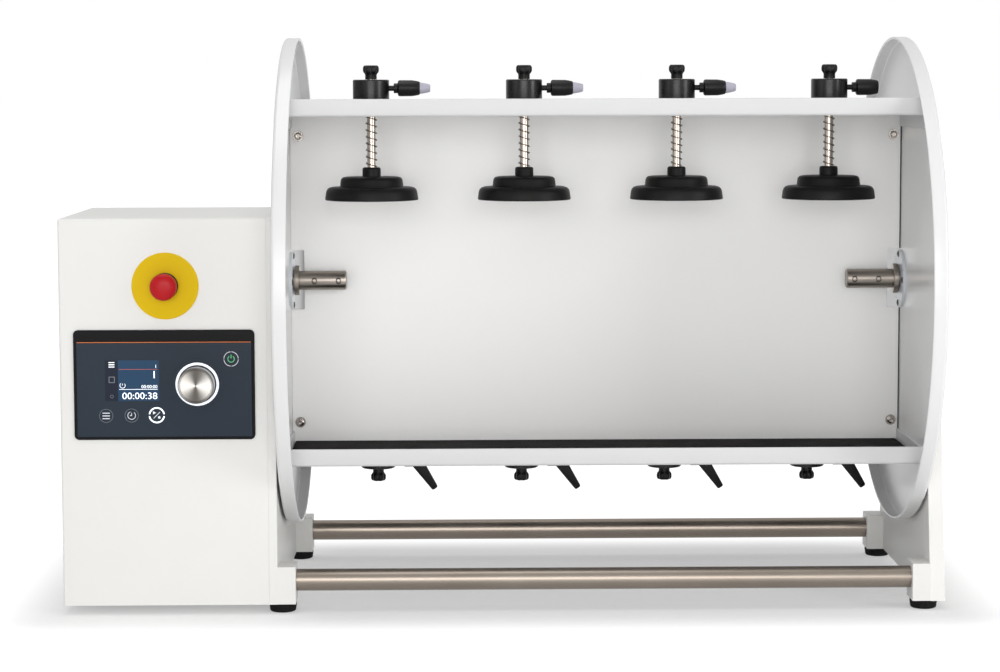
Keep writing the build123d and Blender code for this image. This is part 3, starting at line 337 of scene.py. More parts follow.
plate_in = 298.5                    # inner face of each frame, from the rack's middle
base_half = 145.0
lean = radians(10)
head_radius = base_half * cos(lean) - (axis_z - foot_line) * sin(lean)
head = [
    (head_radius * cos(a), axis_z + head_radius * sin(a))
    for a in [lean + (pi - 2 * lean) * k / 40 for k in range(41)]
]
upright = plate(
    [[(-base_half, foot_line), (base_half, foot_line)] + head], 13.5,
    (rack_x + plate_in, 0, 0), y_way, z_way, 0.4)
block_half, block_low = 14.97, 8.53  # the blocks stand 0.03 mm inside the plate's edges
blocks = [
    block((rack_x + block_in, y - block_half, block_low),
          (rack_x + plate_in + 0.5, y + block_half, block_top), 0.4)
    for y in (-row_y, row_y)
]
right_frame = piece("right_frame_casting", joined([upright] + blocks), powder_coat)
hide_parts("right_side_frame")

# ---------------------------------------------------------------- left side frame
# A plate that closes the drive housing, with a gusset to the rear foot block and a bearing boss.
# Its front edge shows as a narrow upright strip beside the housing's seam.
left_in = rack_x - plate_in
back, top = 62, 361.5                # the housing's rear and its top
left_thick = 7.7
left_outline = rounded([
    (-base_half, foot_line), (base_half, foot_line), (base_half, block_top, 2), (back, 181, 2),
    (back, top - 2), (-base_half, top - 2)], 0)
left_plate = plate([left_outline], left_thick, (left_in - left_thick, 0, 0), y_way, z_way, 0.4)
blocks = [
    block((left_in - 0.5, y - block_half, block_low), (rack_x - block_in, y + block_half, block_top), 0.4)
    for y in (-row_y, row_y)
]


def turned(profile, origin, axis, steps=96):
    """Turn a profile of (distance along the axis, radius) round an axis, like work in a lathe."""
    axis = Vector(axis).normalized()
    side = axis.orthogonal().normalized()
    other = axis.cross(side)
    origin = Vector(origin)
    verts, faces, rings = [], [], []
    for along, radius in profile:
        start = len(verts)
        if radius < 1e-6:
            verts.append((origin + axis * along) * mm)
            rings.append((start, 1))
            continue
        for k in range(steps):
            a = 2 * pi * k / steps
            verts.append((origin + axis * along + (side * cos(a) + other * sin(a)) * radius) * mm)
        rings.append((start, steps))
    pairs = list(zip(rings, rings[1:]))
    if profile[0][1] > 1e-6 and profile[-1][1] > 1e-6:
        pairs.append((rings[-1], rings[0]))
    for (a, many_a), (b, many_b) in pairs:
        for k in range(steps):
            n = (k + 1) % steps
            if many_a == 1 and many_b == 1:
                continue
            if many_a == 1:
                faces.append((a, b + k, b + n))
            elif many_b == 1:
                faces.append((a + k, b, a + n))
            else:
                faces.append((a + k, b + k, b + n, a + n))
    mesh = bpy.data.meshes.new("turned")
    mesh.from_pydata(verts, [], faces)
    return mesh


boss = turned([(0, 11), (0, 23.2), (0.8, 24), (10, 24), (10, 11)],
              (left_in - left_thick - 10, 0, axis_z), x_way, 64)
left_frame = piece("left_frame_plate", joined([left_plate, boss] + blocks), powder_coat)
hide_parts("left_side_frame")

# ---------------------------------------------------------------- cross rods
# Two ground stainless bars that tie the frames together, each sunk in the foot blocks.
# Ground stainless is a warm grey metal, and its soft shine drifts a little.
ground_steel = coated(
    "ground_stainless_steel", "#9A9086", 0.30, 1.0, colours=("#8A8076", "#A0968C"), rough=(0.3, 0.36))
rods = [
    turned([(0, 0), (0, 9.4), (0.6, 10), (591.4, 10), (592, 9.4), (592, 0)],
           (rack_x - 296, y, 28.5), x_way, 96)
    for y in (-row_y, row_y)
]
rod_pair = piece("ground_cross_rods", joined(rods), ground_steel)
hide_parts("cross_rods")

# ---------------------------------------------------------------- feet
# Six moulded rubber feet: four under the blocks, two under the housing's far end.
# Black rubber is dull and faintly grey where it has rubbed on the bench.
foot_rubber = coated(
    "moulded_black_rubber", "#111111", 0.7, Specular_IOR_Level=0.15, grain=0.8, depth=0.03,
    colours=("#0E0E0E", "#171615"), rough=(0.6, 0.8), patch=12)
foot_places = [(rack_x + side * 294.6, y) for side in (-1, 1) for y in (-row_y, row_y)]
foot_places += [(-347.7, -83), (-347.7, 32)]
foot_shape = [
    (0, 0), (0, 6), (0.6, 7), (0.6, 9.6), (0.2, 10.6), (0.6, 11.4), (1.4, 11.9), (6.6, 12.6), (7.8, 12.5),
    (8.4, 12), (8.5, 11.4), (8.5, 0),
]
rubber_feet = piece(
    "rubber_feet", joined([turned(foot_shape, (x, y, 0), z_way, 48) for x, y in foot_places]),
    foot_rubber)
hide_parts("feet")

# ---------------------------------------------------------------- drive housing
# A cover bent from 2 mm sheet: front, top and left side in one, with small rounded bends.
# The top sheet runs on over the left frame plate, so the seam shows only in front.
hx = -402.7                         # the housing's left side
front = -145.0
seam = left_in - left_thick


def box_corner_sheet():
    """Front, top and left walls that meet in rounded bends, as one skin."""
    walls = bmesh.new()
    low = Vector((hx, front, foot_line)) * mm
    high = Vector((seam, back, top)) * mm
    a = [walls.verts.new(v) for v in (
        (low.x, high.y, low.z), (low.x, low.y, low.z), (high.x, low.y, low.z), (low.x, high.y, high.z),
        (low.x, low.y, high.z), (high.x, low.y, high.z), (high.x, high.y, high.z))]
    walls.faces.new((a[0], a[1], a[4], a[3]))
    walls.faces.new((a[1], a[2], a[5], a[4]))
    walls.faces.new((a[3], a[4], a[5], a[6]))
    bends = [e for e in walls.edges if len(e.link_faces) == 2]
    bmesh.ops.bevel(walls, geom=bends, offset=2.4 * mm, segments=5, profile=0.5, affect="EDGES")
    bmesh.ops.recalc_face_normals(walls, faces=walls.faces)
    mesh = bpy.data.meshes.new("walls")
    walls.to_mesh(mesh)
    walls.free()
    return mesh


cover_mesh = box_corner_sheet()
if not any(f.normal.y < -0.9 for f in cover_mesh.polygons):
    cover_mesh.flip_normals()
cover = shown("housing_cover_sheet", cover_mesh)
cover_mesh.materials.append(powder_coat)
thick = cover.modifiers.new("sheet", "SOLIDIFY")
thick.thickness = 2 * mm
thick.offset = -1
cover_mesh = settled(cover)
cap = block((seam - 0.01, front + 0.6, top - 2), (left_in, back, top), 0.5)
returns = [
    block((hx + 2, back - 4, 24), (hx + 12, back - 2, 359.4), 0.3),
    block((hx + 2, back - 4, 349.5), (seam, back - 2, 359.4), 0.3),
]
cover = piece("housing_cover_sheet", joined([cover_mesh, cap] + returns), powder_coat)
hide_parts("housing_cover")

# ---------------------------------------------------------------- chassis, motor, supply and board
# Inner works, kept as they are made: a bent tray with a slotted back, cast and drawn parts on it.
for node, colour, rough, metal, name in (
    ("chassis_tray", "#E6E5E2", 0.42, 0, "powder_coated_tray"),
    ("gear_motor", "#8C8C8E", 0.45, 1, "drawn_motor_case"),
    ("motor_pulley", "#B4B4B6", 0.35, 1, "turned_aluminium"),
    ("driven_pulley", "#B4B4B6", 0.35, 1, "turned_aluminium_wheel"),
    ("drive_belt", "#1A1A1A", 0.7, 0, "ribbed_belt_rubber"),
    ("shaft_bearings", "#9A9A9C", 0.25, 1, "ground_bearing_steel"),
    ("power_supply", "#B9BABB", 0.4, 1, "zinc_plated_case"),
    ("control_board", "#1E5A34", 0.5, 0, "green_circuit_board"),
    ("power_inlet", "#161616", 0.5, 0, "black_moulded_inlet"),
    ("power_rocker", "#141414", 0.4, 0, "black_moulded_rocker"),
    ("estop_body", "#1B1B1B", 0.45, 0, "black_moulded_switch"),
    ("estop_plunger", "#1B1B1B", 0.45, 0, "black_moulded_plunger"),
    ("encoder_plunger", "#9C9C9C", 0.35, 1, "plated_switch_shaft"),
):
    made = coated(name, colour, rough, metal, grain=1.2, depth=0.012, rough=(rough - 0.06, rough + 0.08))
    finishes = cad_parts[node].data.materials
    finishes.clear()
    finishes.append(made)

# ---------------------------------------------------------------- control panel
# A flat moulded bezel with a back-printed pane: dark band on top, an orange line, a lit display
# and touch keys that are only printed rings and signs. Wording is left off.
panel_low, panel_high = (hx + 12.9, 161.0), (hx + 176.4, 260.9)
bezel_black = coated(
    "moulded_black_bezel", "#0E0E10", 0.36, Specular_IOR_Level=0.1, grain=0.7, depth=0.006,
    colours=("#0C0C0E", "#121214"), rough=(0.32, 0.42))
pane_black = coated(
    "back_printed_pane", "#27313D", 0.3, Specular_IOR_Level=0.15, grain=20, depth=0.001,
    colours=("#242E3A", "#2A3440"), patch=120)


def box_outline(x0, z0, x1, z1, radius=0.0, steps=8):
    """A rectangle as an outline, with rounded corners."""
    return rounded([(x0, z0), (x1, z0), (x1, z1), (x0, z1)], radius, steps)


pane_low, pane_high = (hx + 15.65, 163.7), (hx + 173.65, 250.1)
bezel = plate(
    [box_outline(*panel_low, *panel_high, 4.5), box_outline(*pane_low, *pane_high, 0.6)],
    1.8, (0, front, 0), x_way, z_way, 0.5)
skirt = plate(
    [box_outline(pane_low[0] + 1, 161.6, pane_high[0] - 1, 252.2),
     box_outline(pane_low[0] + 4, 167, pane_high[0] - 4, 247)],
    4.0, (0, front + 4, 0), x_way, z_way, 0)
bezel = piece("panel_bezel_moulding", joined([bezel, skirt]), bezel_black)
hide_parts("panel_bezel")
knob_x, knob_z = hx + 124.4, 211.5
pane = piece(
    "panel_pane",
    plate([box_outline(*pane_low, *pane_high, 0.5), ring_of(knob_x, knob_z, 3.5)], 1.75, (0, front, 0),
          x_way, z_way, 0.15),
    pane_black)
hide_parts("panel_glass")


def printed(name, outlines, material, lift=0.0):
    """A thin layer of print on the pane, one closed shape for each list of outlines."""
    sheets = [plate(shape, 0.06, (0, front - 1.76 - lift, 0), x_way, z_way, 0) for shape in outlines]
    return piece(name, joined(sheets), material)


def ink(name, colour, glow=0.0):
    """Print, or a lit part of the display: even in colour, and made a little brighter than its surroundings
    by a glow of its own colour; on plain print that glow is painted light.
    """
    return coated(name, colour, 0.3, grain=0.6, depth=0.002, Specular_IOR_Level=0.15,
                  Emission_Color=linear(colour), Emission_Strength=glow)


def band(x, z, outer, inner, start=0.0, end=360.0, steps=48):
    """A ring, or a part of one, as outlines."""
    if end - start >= 360:
        return [ring_of(x, z, outer, steps), ring_of(x, z, inner, steps)]
    angles = [radians(start + (end - start) * k / steps) for k in range(steps + 1)]
    return [[(x + outer * cos(a), z + outer * sin(a)) for a in angles]
            + [(x + inner * cos(a), z + inner * sin(a)) for a in reversed(angles)]]


# The orange line and the white signs are plain print, yet they glow a little: painted light.
orange = ink("orange_print_with_painted_glow", "#D9763A", 0.15)
grey_ink = ink("grey_printed_ring", "#8A8E96")
white_ink = ink("white_print_with_painted_glow", "#E8ECF2", 0.25)
lit_white = ink("lit_white_key", "#F4FAFF", 0.9)
lit_green = ink("lit_green_key", "#63C080", 0.4)
screen_blue = ink("lit_blue_display", "#23425F", 0.12)
screen_dark = ink("dark_display_edge", "#1A2232", 0.05)

printed("knob_seat", [band(knob_x, knob_z, 18.7, 11.0)], bezel_black)
printed("panel_orange_line", [[box_outline(hx + 16.2, 249.4, hx + 173.1, 250.0)]], orange, 0.02)
printed("display_edge", [[box_outline(hx + 41.3, 196.5, hx + 53.2, 233.4)]], screen_dark)
printed("display_field", [[box_outline(hx + 53.0, 196.5, hx + 89.8, 233.4)]], screen_blue, 0.01)
printed("display_red_line", [[box_outline(hx + 54.0, 225.0, hx + 88.6, 225.4)]],
        ink("red_display_line", "#B8605A", 0.3), 0.08)
printed("display_white_line", [[box_outline(hx + 54.0, 206.8, hx + 88.6, 207.2)]], lit_white, 0.08)
bars = [[box_outline(hx + 44.6, z, hx + 49.9, z + 0.7)] for z in (227.1, 229.1, 231.1)]
clock = [band(hx + 57.0, 210.6, 2.6, 2.2, 130, 400), [box_outline(hx + 56.8, 210.4, hx + 57.1, 212.4)]]
printed("display_signs", bars + clock, lit_white, 0.08)
printed("display_faint_signs", [
    [box_outline(hx + 44.6, 213.0, hx + 50.0, 218.6), box_outline(hx + 45.2, 213.6, hx + 49.4, 218.0)],
    band(hx + 47.2, 200.6, 1.5, 1.2)], grey_ink, 0.08)


def digits(name, words, right_x, low_z, height, material, stretch=1.0):
    """Numerals on the display, drawn flat and set against the right margin."""
    curve = bpy.data.curves.new(name, "FONT")
    curve.body = words
    curve.size = height * mm * 1.42
    curve.align_x = "RIGHT"
    curve.extrude = 0.03 * mm
    curve.resolution_u = 3
    mesh = settled(shown(name, curve))
    turn = Matrix(((stretch, 0, 0), (0, 0, -1), (0, 1, 0))).to_4x4()
    mesh.transform(Matrix.Translation(Vector((right_x, front - 1.88, low_z)) * mm) @ turn)
    return piece(name, mesh, material)


digits("digits_speed_set", "1", hx + 88.3, 226.6, 2.9, lit_white, 1.1)
digits("digits_speed", "1", hx + 88.3, 217.2, 6.6, lit_white, 1.15)
digits("digits_time_set", "00:00:00", hx + 88.5, 208.0, 3.0, lit_white, 1.0)
digits("digits_time", "00:00:38", hx + 88.5, 198.2, 6.1, lit_white, 1.08)
menu, power = (hx + 41.8, 183.0), (hx + 155.2, 234.3)
timer_x, timer_z = timer = hx + 64.8, 183.2
start_x, start_z = start = hx + 87.5, 183.4
printed("key_rings", [band(*menu, 6.2, 5.9), band(*timer, 6.2, 5.9)], grey_ink)
printed("key_signs", [
    [box_outline(menu[0] - 3.3, z, menu[0] + 3.3, z + 0.7)] for z in (180.1, 182.6, 185.1)
] + [
    band(*timer, 3.7, 3.25, 110, 410),
    [box_outline(timer_x - 0.3, timer_z - 0.3, timer_x + 0.2, timer_z + 2.4)],
    [box_outline(timer_x - 1.6, timer_z - 0.3, timer_x - 0.1, timer_z + 0.2)],
], white_ink)
printed("start_key_ring", [band(*start, 7.3, 6.0, a, a + 164) for a in (8, 188)], lit_white)
printed("start_key_signs", [
    [[(start_x - 3.4, start_z + 0.6), (start_x - 0.6, start_z + 2.2), (start_x - 3.4, start_z + 3.8)]],
    [[(start_x - 3.0, start_z - 2.6), (start_x - 2.6, start_z - 3.0),
      (start_x + 3.0, start_z + 2.6), (start_x + 2.6, start_z + 3.0)]],
    [ring_of(start_x + 2.2, start_z - 2.0, 1.2)],
], white_ink)
printed("power_key_ring", [band(*power, 6.7, 6.3, a, a + 82) for a in (4, 94, 184, 274)], white_ink)
printed("power_key_sign", [
    band(*power, 3.2, 2.6, 125, 415),
    [box_outline(power[0] - 0.35, power[1] + 0.6, power[0] + 0.35, power[1] + 3.9)],
], lit_green)

# ---------------------------------------------------------------- control knob
# A turned aluminium cap on a black core, with a lit ring round it. The face is spun: its grooves lie in
# the shading, and the wedges of light and dark that run out from the middle are painted highlight in its
# colour.
spun, tree, shader = finish("spun_aluminium_face", "#B9B6B2", 0.28, 1.0, Anisotropic=0.85)
place = add(tree, "ShaderNodeTexCoord")
knob_y = front - 2.7
toward_front = (0, -1, 0)
centre = (knob_x * mm, knob_y * mm, knob_z * mm)
radial = add(tree, "ShaderNodeVectorMath", {0: place.outputs["Object"], 1: centre}, operation="SUBTRACT")
tangent = add(tree, "ShaderNodeVectorMath", {0: radial.outputs[0], 1: y_way}, operation="CROSS_PRODUCT")
unit = add(tree, "ShaderNodeVectorMath", {0: tangent.outputs[0]}, operation="NORMALIZE")
tree.links.new(unit.outputs[0], shader.inputs["Tangent"])
flat_radial = add(
    tree, "ShaderNodeVectorMath", {0: radial.outputs[0], 1: (1, 0, 1)}, operation="MULTIPLY")
radius_mm = add(tree, "ShaderNodeVectorMath", {0: flat_radial.outputs[0]}, operation="LENGTH")
grooves = add(tree, "ShaderNodeTexNoise", {
    "W": radius_mm.outputs["Value"], "Scale": 1 / (0.35 * mm), "Detail": 2.0}, noise_dimensions="1D")
# Painted highlight: the colour is bright where the grooves run up and down and dark where they run across, a
# fixed bow-tie of light and shade.
steps_apart = add(tree, "ShaderNodeSeparateXYZ", {0: unit.outputs[0]})
painted_wedge_share = add(tree, "ShaderNodeMath", {
    0: steps_apart.outputs["X"], 1: steps_apart.outputs["X"]}, operation="MULTIPLY")
painted_highlight_mix = add(tree, "ShaderNodeMix", {
    "Factor": painted_wedge_share.outputs[0], "A": linear("#BDBAB5"), "B": linear("#5E5A56")}, data_type="RGBA")
tree.links.new(painted_highlight_mix.outputs["Result"], shader.inputs["Base Color"])
relief = add(tree, "ShaderNodeBump", {
    "Height": grooves.outputs["Fac"], "Distance": 0.01 * mm, "Strength": 0.6})
tree.links.new(relief.outputs[0], shader.inputs["Normal"])

knob = piece("spun_knob", turned([
    (0, 3.05), (0, 15.8), (0.5, 16.5), (12.2, 16.3), (13.0, 16.0), (13.6, 15.4), (13.9, 14.6),
    (13.7, 14.2), (13.5, 13.8), (13.45, 0)],
    (knob_x, knob_y, knob_z), toward_front, 128), spun, body="control_knob")
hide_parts("control_knob")
ring = piece("knob_light_band", turned(
    [(0, 17.3), (0, 19.6), (0.4, 19.6), (0.6, 19.2), (0.6, 17.7), (0.4, 17.3)],
    (knob_x, front - 1.8, knob_z), toward_front, 96), ink("lit_ring_diffuser", "#E6EAF2", 0.7))
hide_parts("knob_light_ring")

# ---------------------------------------------------------------- emergency stop
# A yellow legend plate, left blank, and a red mushroom head on a black collar.
# Both are moulded plastic with a soft shine.
stop_x, stop_z = hx + 96.4, 300.5
yellow = coated(
    "yellow_moulded_plastic", "#E6C000", 0.42, Specular_IOR_Level=0.12, grain=0.7, depth=0.01,
    colours=("#E3BD00", "#EAC502"), rough=(0.36, 0.46))
red = coated(
    "red_moulded_plastic", "#B8121A", 0.34, Specular_IOR_Level=0.2, grain=0.8, depth=0.008,
    colours=("#B31018", "#BE161F"), rough=(0.3, 0.4))
label = piece("stop_legend_plate", turned(
    [(0, 11.3), (0, 30.2), (0.7, 30.2), (1.05, 29.9), (1.2, 29.4), (1.2, 11.3)],
    (stop_x, front, stop_z), toward_front, 128), yellow)
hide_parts("estop_label")
stop_head = piece("stop_mushroom_head", turned([
    (0, 4.1), (0, 10.7), (0.5, 11.4), (3, 12.0), (8, 12.2), (10.2, 11.8), (12.0, 10.6), (13.2, 8.4),
    (13.8, 5.5), (14.0, 2.5), (14.0, 0)],
    (stop_x, front - 7.6, stop_z), toward_front, 96), red, sharp=50, body="estop_head")
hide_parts("estop_head")

# ---------------------------------------------------------------- rack discs
# Two spun steel dishes, enamelled gloss white: a flat web with the rim turned in towards the rack.
# The profile is swept round the axis by a node tree, so a new rim needs only a new profile.
disc_white = coated(
    "gloss_white_enamel", "#E7E7E7", 0.26, Coat_Weight=0.15, Coat_Roughness=0.25,
    colours=("#E5E5E6", "#E9E9E8"), rough=(0.24, 0.28), patch=150)


def begun(name, made, **inputs):
    """A geometry tree with its named inputs and its output, and the node that gives the inputs."""
    tree = bpy.data.node_groups.new(name, "GeometryNodeTree")
    for label, kind in inputs.items():
        tree.interface.new_socket(
            label.replace("_", " "), in_out="INPUT", socket_type="NodeSocket" + kind)
    tree.interface.new_socket(made, in_out="OUTPUT", socket_type="NodeSocketGeometry")
    return tree, add(tree, "NodeGroupInput")


def ended(tree, given, made, shape):
    """The end of a geometry tree: instances made real, and the finish set."""
    real = add(tree, "GeometryNodeRealizeInstances", {"Geometry": shape})
    painted = add(tree, "GeometryNodeSetMaterial", {
        "Geometry": real.outputs[0], "Material": given.outputs["Finish"]})
    add(tree, "NodeGroupOutput", {made: painted.outputs[0]})


sweep, given = begun(
    "swept_ring", "Ring", Profile="Geometry", Radius="Float", Steps="Int", Finish="Material")
circle = add(sweep, "GeometryNodeCurvePrimitiveCircle", {
    "Resolution": given.outputs["Steps"], "Radius": given.outputs["Radius"]})
swept = add(sweep, "GeometryNodeCurveToMesh", {
    "Curve": circle.outputs["Curve"], "Profile Curve": given.outputs["Profile"]})
ended(sweep, given, "Ring", swept.outputs[0])


def grown(name, tree, values, start=None):
    """The plain mesh that a node tree makes from its named inputs and what it starts from."""
    worker = shown(name, start or bpy.data.meshes.new(name))
    maker = worker.modifiers.new("maker", "NODES")
    maker.node_group = tree
    for item in tree.interface.items_tree:
        if item.name in values:
            maker[item.identifier] = values[item.name]
    return settled(worker)


disc_radius = 231.2
disc_out, disc_in, rim_in = 296.0, 293.5, 282.5     # faces of the web and the rim's lip, from the middle
bore = 10.2
lip = disc_radius - 2.5
for side, body_name in ((-1, "left_disc"), (1, "right_disc")):
    corners = [
        (disc_out, bore), (disc_out, disc_radius - 4.5), (disc_out, disc_radius, 3.2),
        (rim_in, disc_radius, 1.0), (rim_in, lip, 1.0), (disc_in, lip, 1.2),
        (disc_in, disc_radius - 5.0), (disc_in, bore),
    ]
    outline = rounded(corners, 0.0, 6)
    profile = bpy.data.curves.new("disc_profile", "CURVE")
    profile.dimensions = "3D"
    spline = profile.splines.new("POLY")
    spline.points.add(len(outline) - 1)
    for point, (x, r) in zip(spline.points, outline):
        point.co = ((r - disc_radius) * mm, -x * mm, 0, 1)
    spline.use_cyclic_u = True
    disc = grown(
        "disc", sweep, {"Radius": disc_radius * mm, "Steps": 192, "Finish": disc_white}, profile)
    disc.transform(Matrix((
        (0, 0, side, rack_x * mm), (0, 1, 0, 0), (1, 0, 0, axis_z * mm), (0, 0, 0, 1))))
    tabs = [
        block((min(a, b), 8, axis_z + z - 12), (max(a, b), 10.5, axis_z + z + 12), 0.5, 2)
        for a, b in [(rack_x + side * 277.5, rack_x + side * 293.6)] for z in (-138, 138)
    ]
    dish = piece("enamelled_" + body_name, joined([disc] + tabs), disc_white, sharp=40, body="rack")
    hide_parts(body_name)

# ---------------------------------------------------------------- centre panel
# A flanged sheet between the discs, satin white, with a notch at each end where a shaft comes
# through, and a thin dark strip down its right end: painted shade for the gap against the right disc.
# Painted light: the panel's white is set brighter than the discs' enamel, for the light that the top shelf
# keeps off it.
panel_white_painted_light = coated(
    "satin_white_with_painted_light", "#F8F7F5", 0.36, grain=1.4, depth=0.010, colours=("#F6F5F3", "#FAF9F7"),
    rough=(0.32, 0.42), patch=200)
half = 293.3                        # half the width of the panel and the shelves
edge_z, notch_z, notch_u = 158.0, 28.5, 281.0
outline = rounded([
    (-half, -edge_z), (half, -edge_z), (half, -notch_z), (notch_u, -notch_z, 1), (notch_u, notch_z, 1),
    (half, notch_z), (half, edge_z), (-half, edge_z), (-half, notch_z), (-notch_u, notch_z, 1),
    (-notch_u, -notch_z, 1), (-half, -notch_z)])
web_sheet = plate(
    [[(rack_x + x, axis_z + z) for x, z in outline]], 2, (0, 8, 0), x_way, z_way, 0.4)
flanges = [
    block((rack_x - 274, 7, axis_z + z - 1), (rack_x + 274, 20, axis_z + z + 1), 0.4, 2) for z in (-157, 157)
]
panel = piece("folded_centre_panel", joined([web_sheet] + flanges), panel_white_painted_light, sharp=12, body="rack")
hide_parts("center_panel")
# Painted shade: a thin dark strip stands where the panel's right end meets the disc, for the shadow in the
# gap.
gap_shade_paint = coated(
    "painted_gap_shade", "#201E1D", 0.7, Specular_IOR_Level=0.2, grain=0.8, depth=0.01,
    colours=("#1B1918", "#262322"), rough=(0.6, 0.8), patch=12)
gap_shade_strips = [
    block((rack_x + 292.5, 5.4, axis_z + min(a, b)), (rack_x + 293.4, 8.2, axis_z + max(a, b)), 0)
    for a, b in ((28.6, 154), (-28.6, -152))
]
gap_shade_strips = piece("panel_edging", joined(gap_shade_strips), gap_shade_paint, body="rack")

# ---------------------------------------------------------------- shelves
# Each shelf is one bent sheet with a lip turned out at one side and in at the other, so the bottom
# one is the top one turned half a turn. End tabs bolt to the discs.
# Painted shade: the shelves' white enamel is set greyer than the discs' and the panel's, so that shelves and
# lips read darker.
shelf_white_painted_shade = coated(
    "white_enamel_with_painted_shade", "#D9D9DA", 0.36, Specular_IOR_Level=0.3, colours=("#D7D7D8", "#DCDCDC"),
    rough=(0.34, 0.4), patch=150)
for turn, node in ((1, "top_shelf"), (-1, "bottom_shelf")):
    profile = rounded([
        (-138, 158, 3), (136, 158, 1), (136, 144, 0.6), (138, 144, 0.6), (138, 160, 3), (-136, 160, 1),
        (-136, 174, 0.8), (-138, 174, 0.8)], 0, 5)
    sheet = plate(
        [[(y * turn, axis_z + z * turn) for y, z in profile]], 2 * half, (rack_x - half, 0, 0),
        y_way, z_way, 0.3)
    tabs = []
    for side in (-1, 1):
        for y0, y1 in ((-126, 4), (12.5, 126)):
            a, b = rack_x + side * half, rack_x + side * (half - 2)
            z0, z1 = axis_z + turn * 158.2, axis_z + turn * 146
            tabs.append(block((min(a, b), y0, min(z0, z1)), (max(a, b), y1, max(z0, z1)), 0.4, 2))
    shelf = piece(node + "_sheet", joined([sheet] + tabs), shelf_white_painted_shade, body="rack")
    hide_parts(node)

# ---------------------------------------------------------------- shelf mats
# Black cellular rubber, cut from sheet, on the side of each shelf where bottles stand.
mat_rubber = coated(
    "black_rubber_sheet", "#151312", 0.8, Specular_IOR_Level=0.1, grain=1.6, depth=0.12,
    colours=("#110F0F", "#191716"), rough=(0.7, 0.9), patch=30)
for node, turn, y0, y1 in (("front", -1, -134.8, 5.5), ("rear", 1, 21.2, 134.8)):
    z0, z1 = axis_z + turn * 158, axis_z + turn * 156
    mat = piece(
        node + "_mat",
        block((rack_x - 290.4, y0, min(z0, z1)), (rack_x + 290.4, y1, max(z0, z1)), 0.5, 2),
        mat_rubber, body="rack")
    if turn < 0:
        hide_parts("shelf_mats")

# ---------------------------------------------------------------- rack shafts
# Turned steel: a stub with a milled flat, a collar, and a hub plate painted light grey.
# Machined steel is bright and warm grey, with a slow drift in its shine.
machined = coated(
    "machined_steel", "#A49C94", 0.26, 1.0, colours=("#8E867E", "#A29A92"), rough=(0.27, 0.33),
    patch=30)
hub_paint = coated(
    "light_grey_enamel", "#DDE0E3", 0.3, grain=1.0, depth=0.01, colours=("#CED2D7", "#D7DBDF"),
    rough=(0.26, 0.36))
flat_end, flat_y = 281.5, 0.006     # where the milled flat stops, and its height in metres
for side, node in ((-1, "drive_shaft"), (1, "idler_shaft")):
    profile = [
        (240.3, 0), (240.3, 8.2), (240.6, 8.8), (241.3, 9.2), (284.8, 9.2), (284.8, 13.7), (285.4, 14.3),
        (289.2, 14.3), (289.8, 13.7), (289.8, 10.2), (291.0, 10.2), (296.2, 10.1),
    ]
    reach = 357.0 if side < 0 else 309.5
    profile += [(296.2, 10.0), (reach - 1, 10.0), (reach, 9.0), (reach, 0)]
    stub = turned(profile, (rack_x, 0, axis_z), (side, 0, 0), 96)
    work = bmesh.new()
    work.from_mesh(stub)
    bmesh.ops.bisect_plane(
        work, geom=work.verts[:] + work.edges[:] + work.faces[:],
        plane_co=Vector((rack_x + side * flat_end, 0, 0)) * mm, plane_no=x_way)
    for vert in work.verts:
        if side * (vert.co.x - rack_x * mm) < 0.28151 and vert.co.y > flat_y:
            vert.co.y = flat_y
    work.to_mesh(stub)
    work.free()
    shaft = piece(node + "_steel", stub, machined, body="rack")
    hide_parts(node)
    hub = piece(node + "_hub_plate", turned(
        [(290.8, 10.2), (290.8, 26.7), (291.6, 27.5), (293.6, 27.5), (293.6, 10.2)],
        (rack_x, 0, axis_z), (side, 0, 0), 96), hub_paint, body="rack")

# ---------------------------------------------------------------- screws
# Socket screws set out by a node tree: each point carries the way its screw faces.
# Blackened steel on the hubs and stubs, plated steel elsewhere, with washers on the panel. On the stubs
# the blackened heads are also painted shade for the recesses round them.
plated = coated(
    "plated_steel", "#B4ADA6", 0.24, 1.0, grain=0.6, depth=0.003, colours=("#A8A19A", "#C0B9B2"),
    rough=(0.18, 0.3), patch=5)
blackened = coated(
    "blackened_steel", "#5A5856", 0.4, 0.9, grain=0.6, depth=0.01, colours=("#53504E", "#65625F"),
    rough=(0.34, 0.5), patch=5)

setting, given = begun(
    "screws_set_out", "Screws", Places="Geometry", Screw="Object", Finish="Material", Size="Float")
facing = add(setting, "GeometryNodeInputNamedAttribute", {"Name": "facing"}, data_type="FLOAT_VECTOR")
aim = add(setting, "FunctionNodeAlignRotationToVector", {"Vector": facing.outputs["Attribute"]}, axis="Z")
shape = add(setting, "GeometryNodeObjectInfo", {"Object": given.outputs["Screw"]})
placed = add(setting, "GeometryNodeInstanceOnPoints", {
    "Points": given.outputs["Places"], "Instance": shape.outputs["Geometry"], "Rotation": aim.outputs[0],
    "Scale": given.outputs["Size"]})
ended(setting, given, "Screws", placed.outputs[0])

socket_head = turned([
    (-3, 0), (-3, 1.9), (0, 1.9), (0, 3.9), (0.5, 4.1), (1.5, 3.9), (2.2, 3.0), (2.4, 2.1),
    (1.1, 2.0), (1.0, 0)], (0, 0, 0), z_way, 24)
washer_head = turned([
    (-3, 0), (-3, 1.9), (0, 1.9), (0, 4.9), (0.4, 5.1), (0.8, 4.9), (0.8, 3.7), (1.6, 3.6),
    (2.3, 2.9), (2.6, 2.0), (1.2, 1.9), (1.1, 0)], (0, 0, 0), z_way, 24)


def set_screws(name, places, shape, material, size=1.0, body="rack"):
    """Screws of one kind at the given places, each with the way it faces."""
    points = bpy.data.meshes.new(name)
    points.from_pydata([Vector(at) * mm for at, _ in places], [], [])
    way = points.attributes.new("facing", "FLOAT_VECTOR", "POINT")
    for item, (_, face) in zip(way.data, places):
        item.vector = face
    sample = shown("screw_sample", shape)
    mesh = grown(name, setting, {"Screw": sample, "Finish": material, "Size": size}, points)
    bpy.data.objects.remove(sample)
    made = piece(name, mesh, material, sharp=35, body=body)
    return made


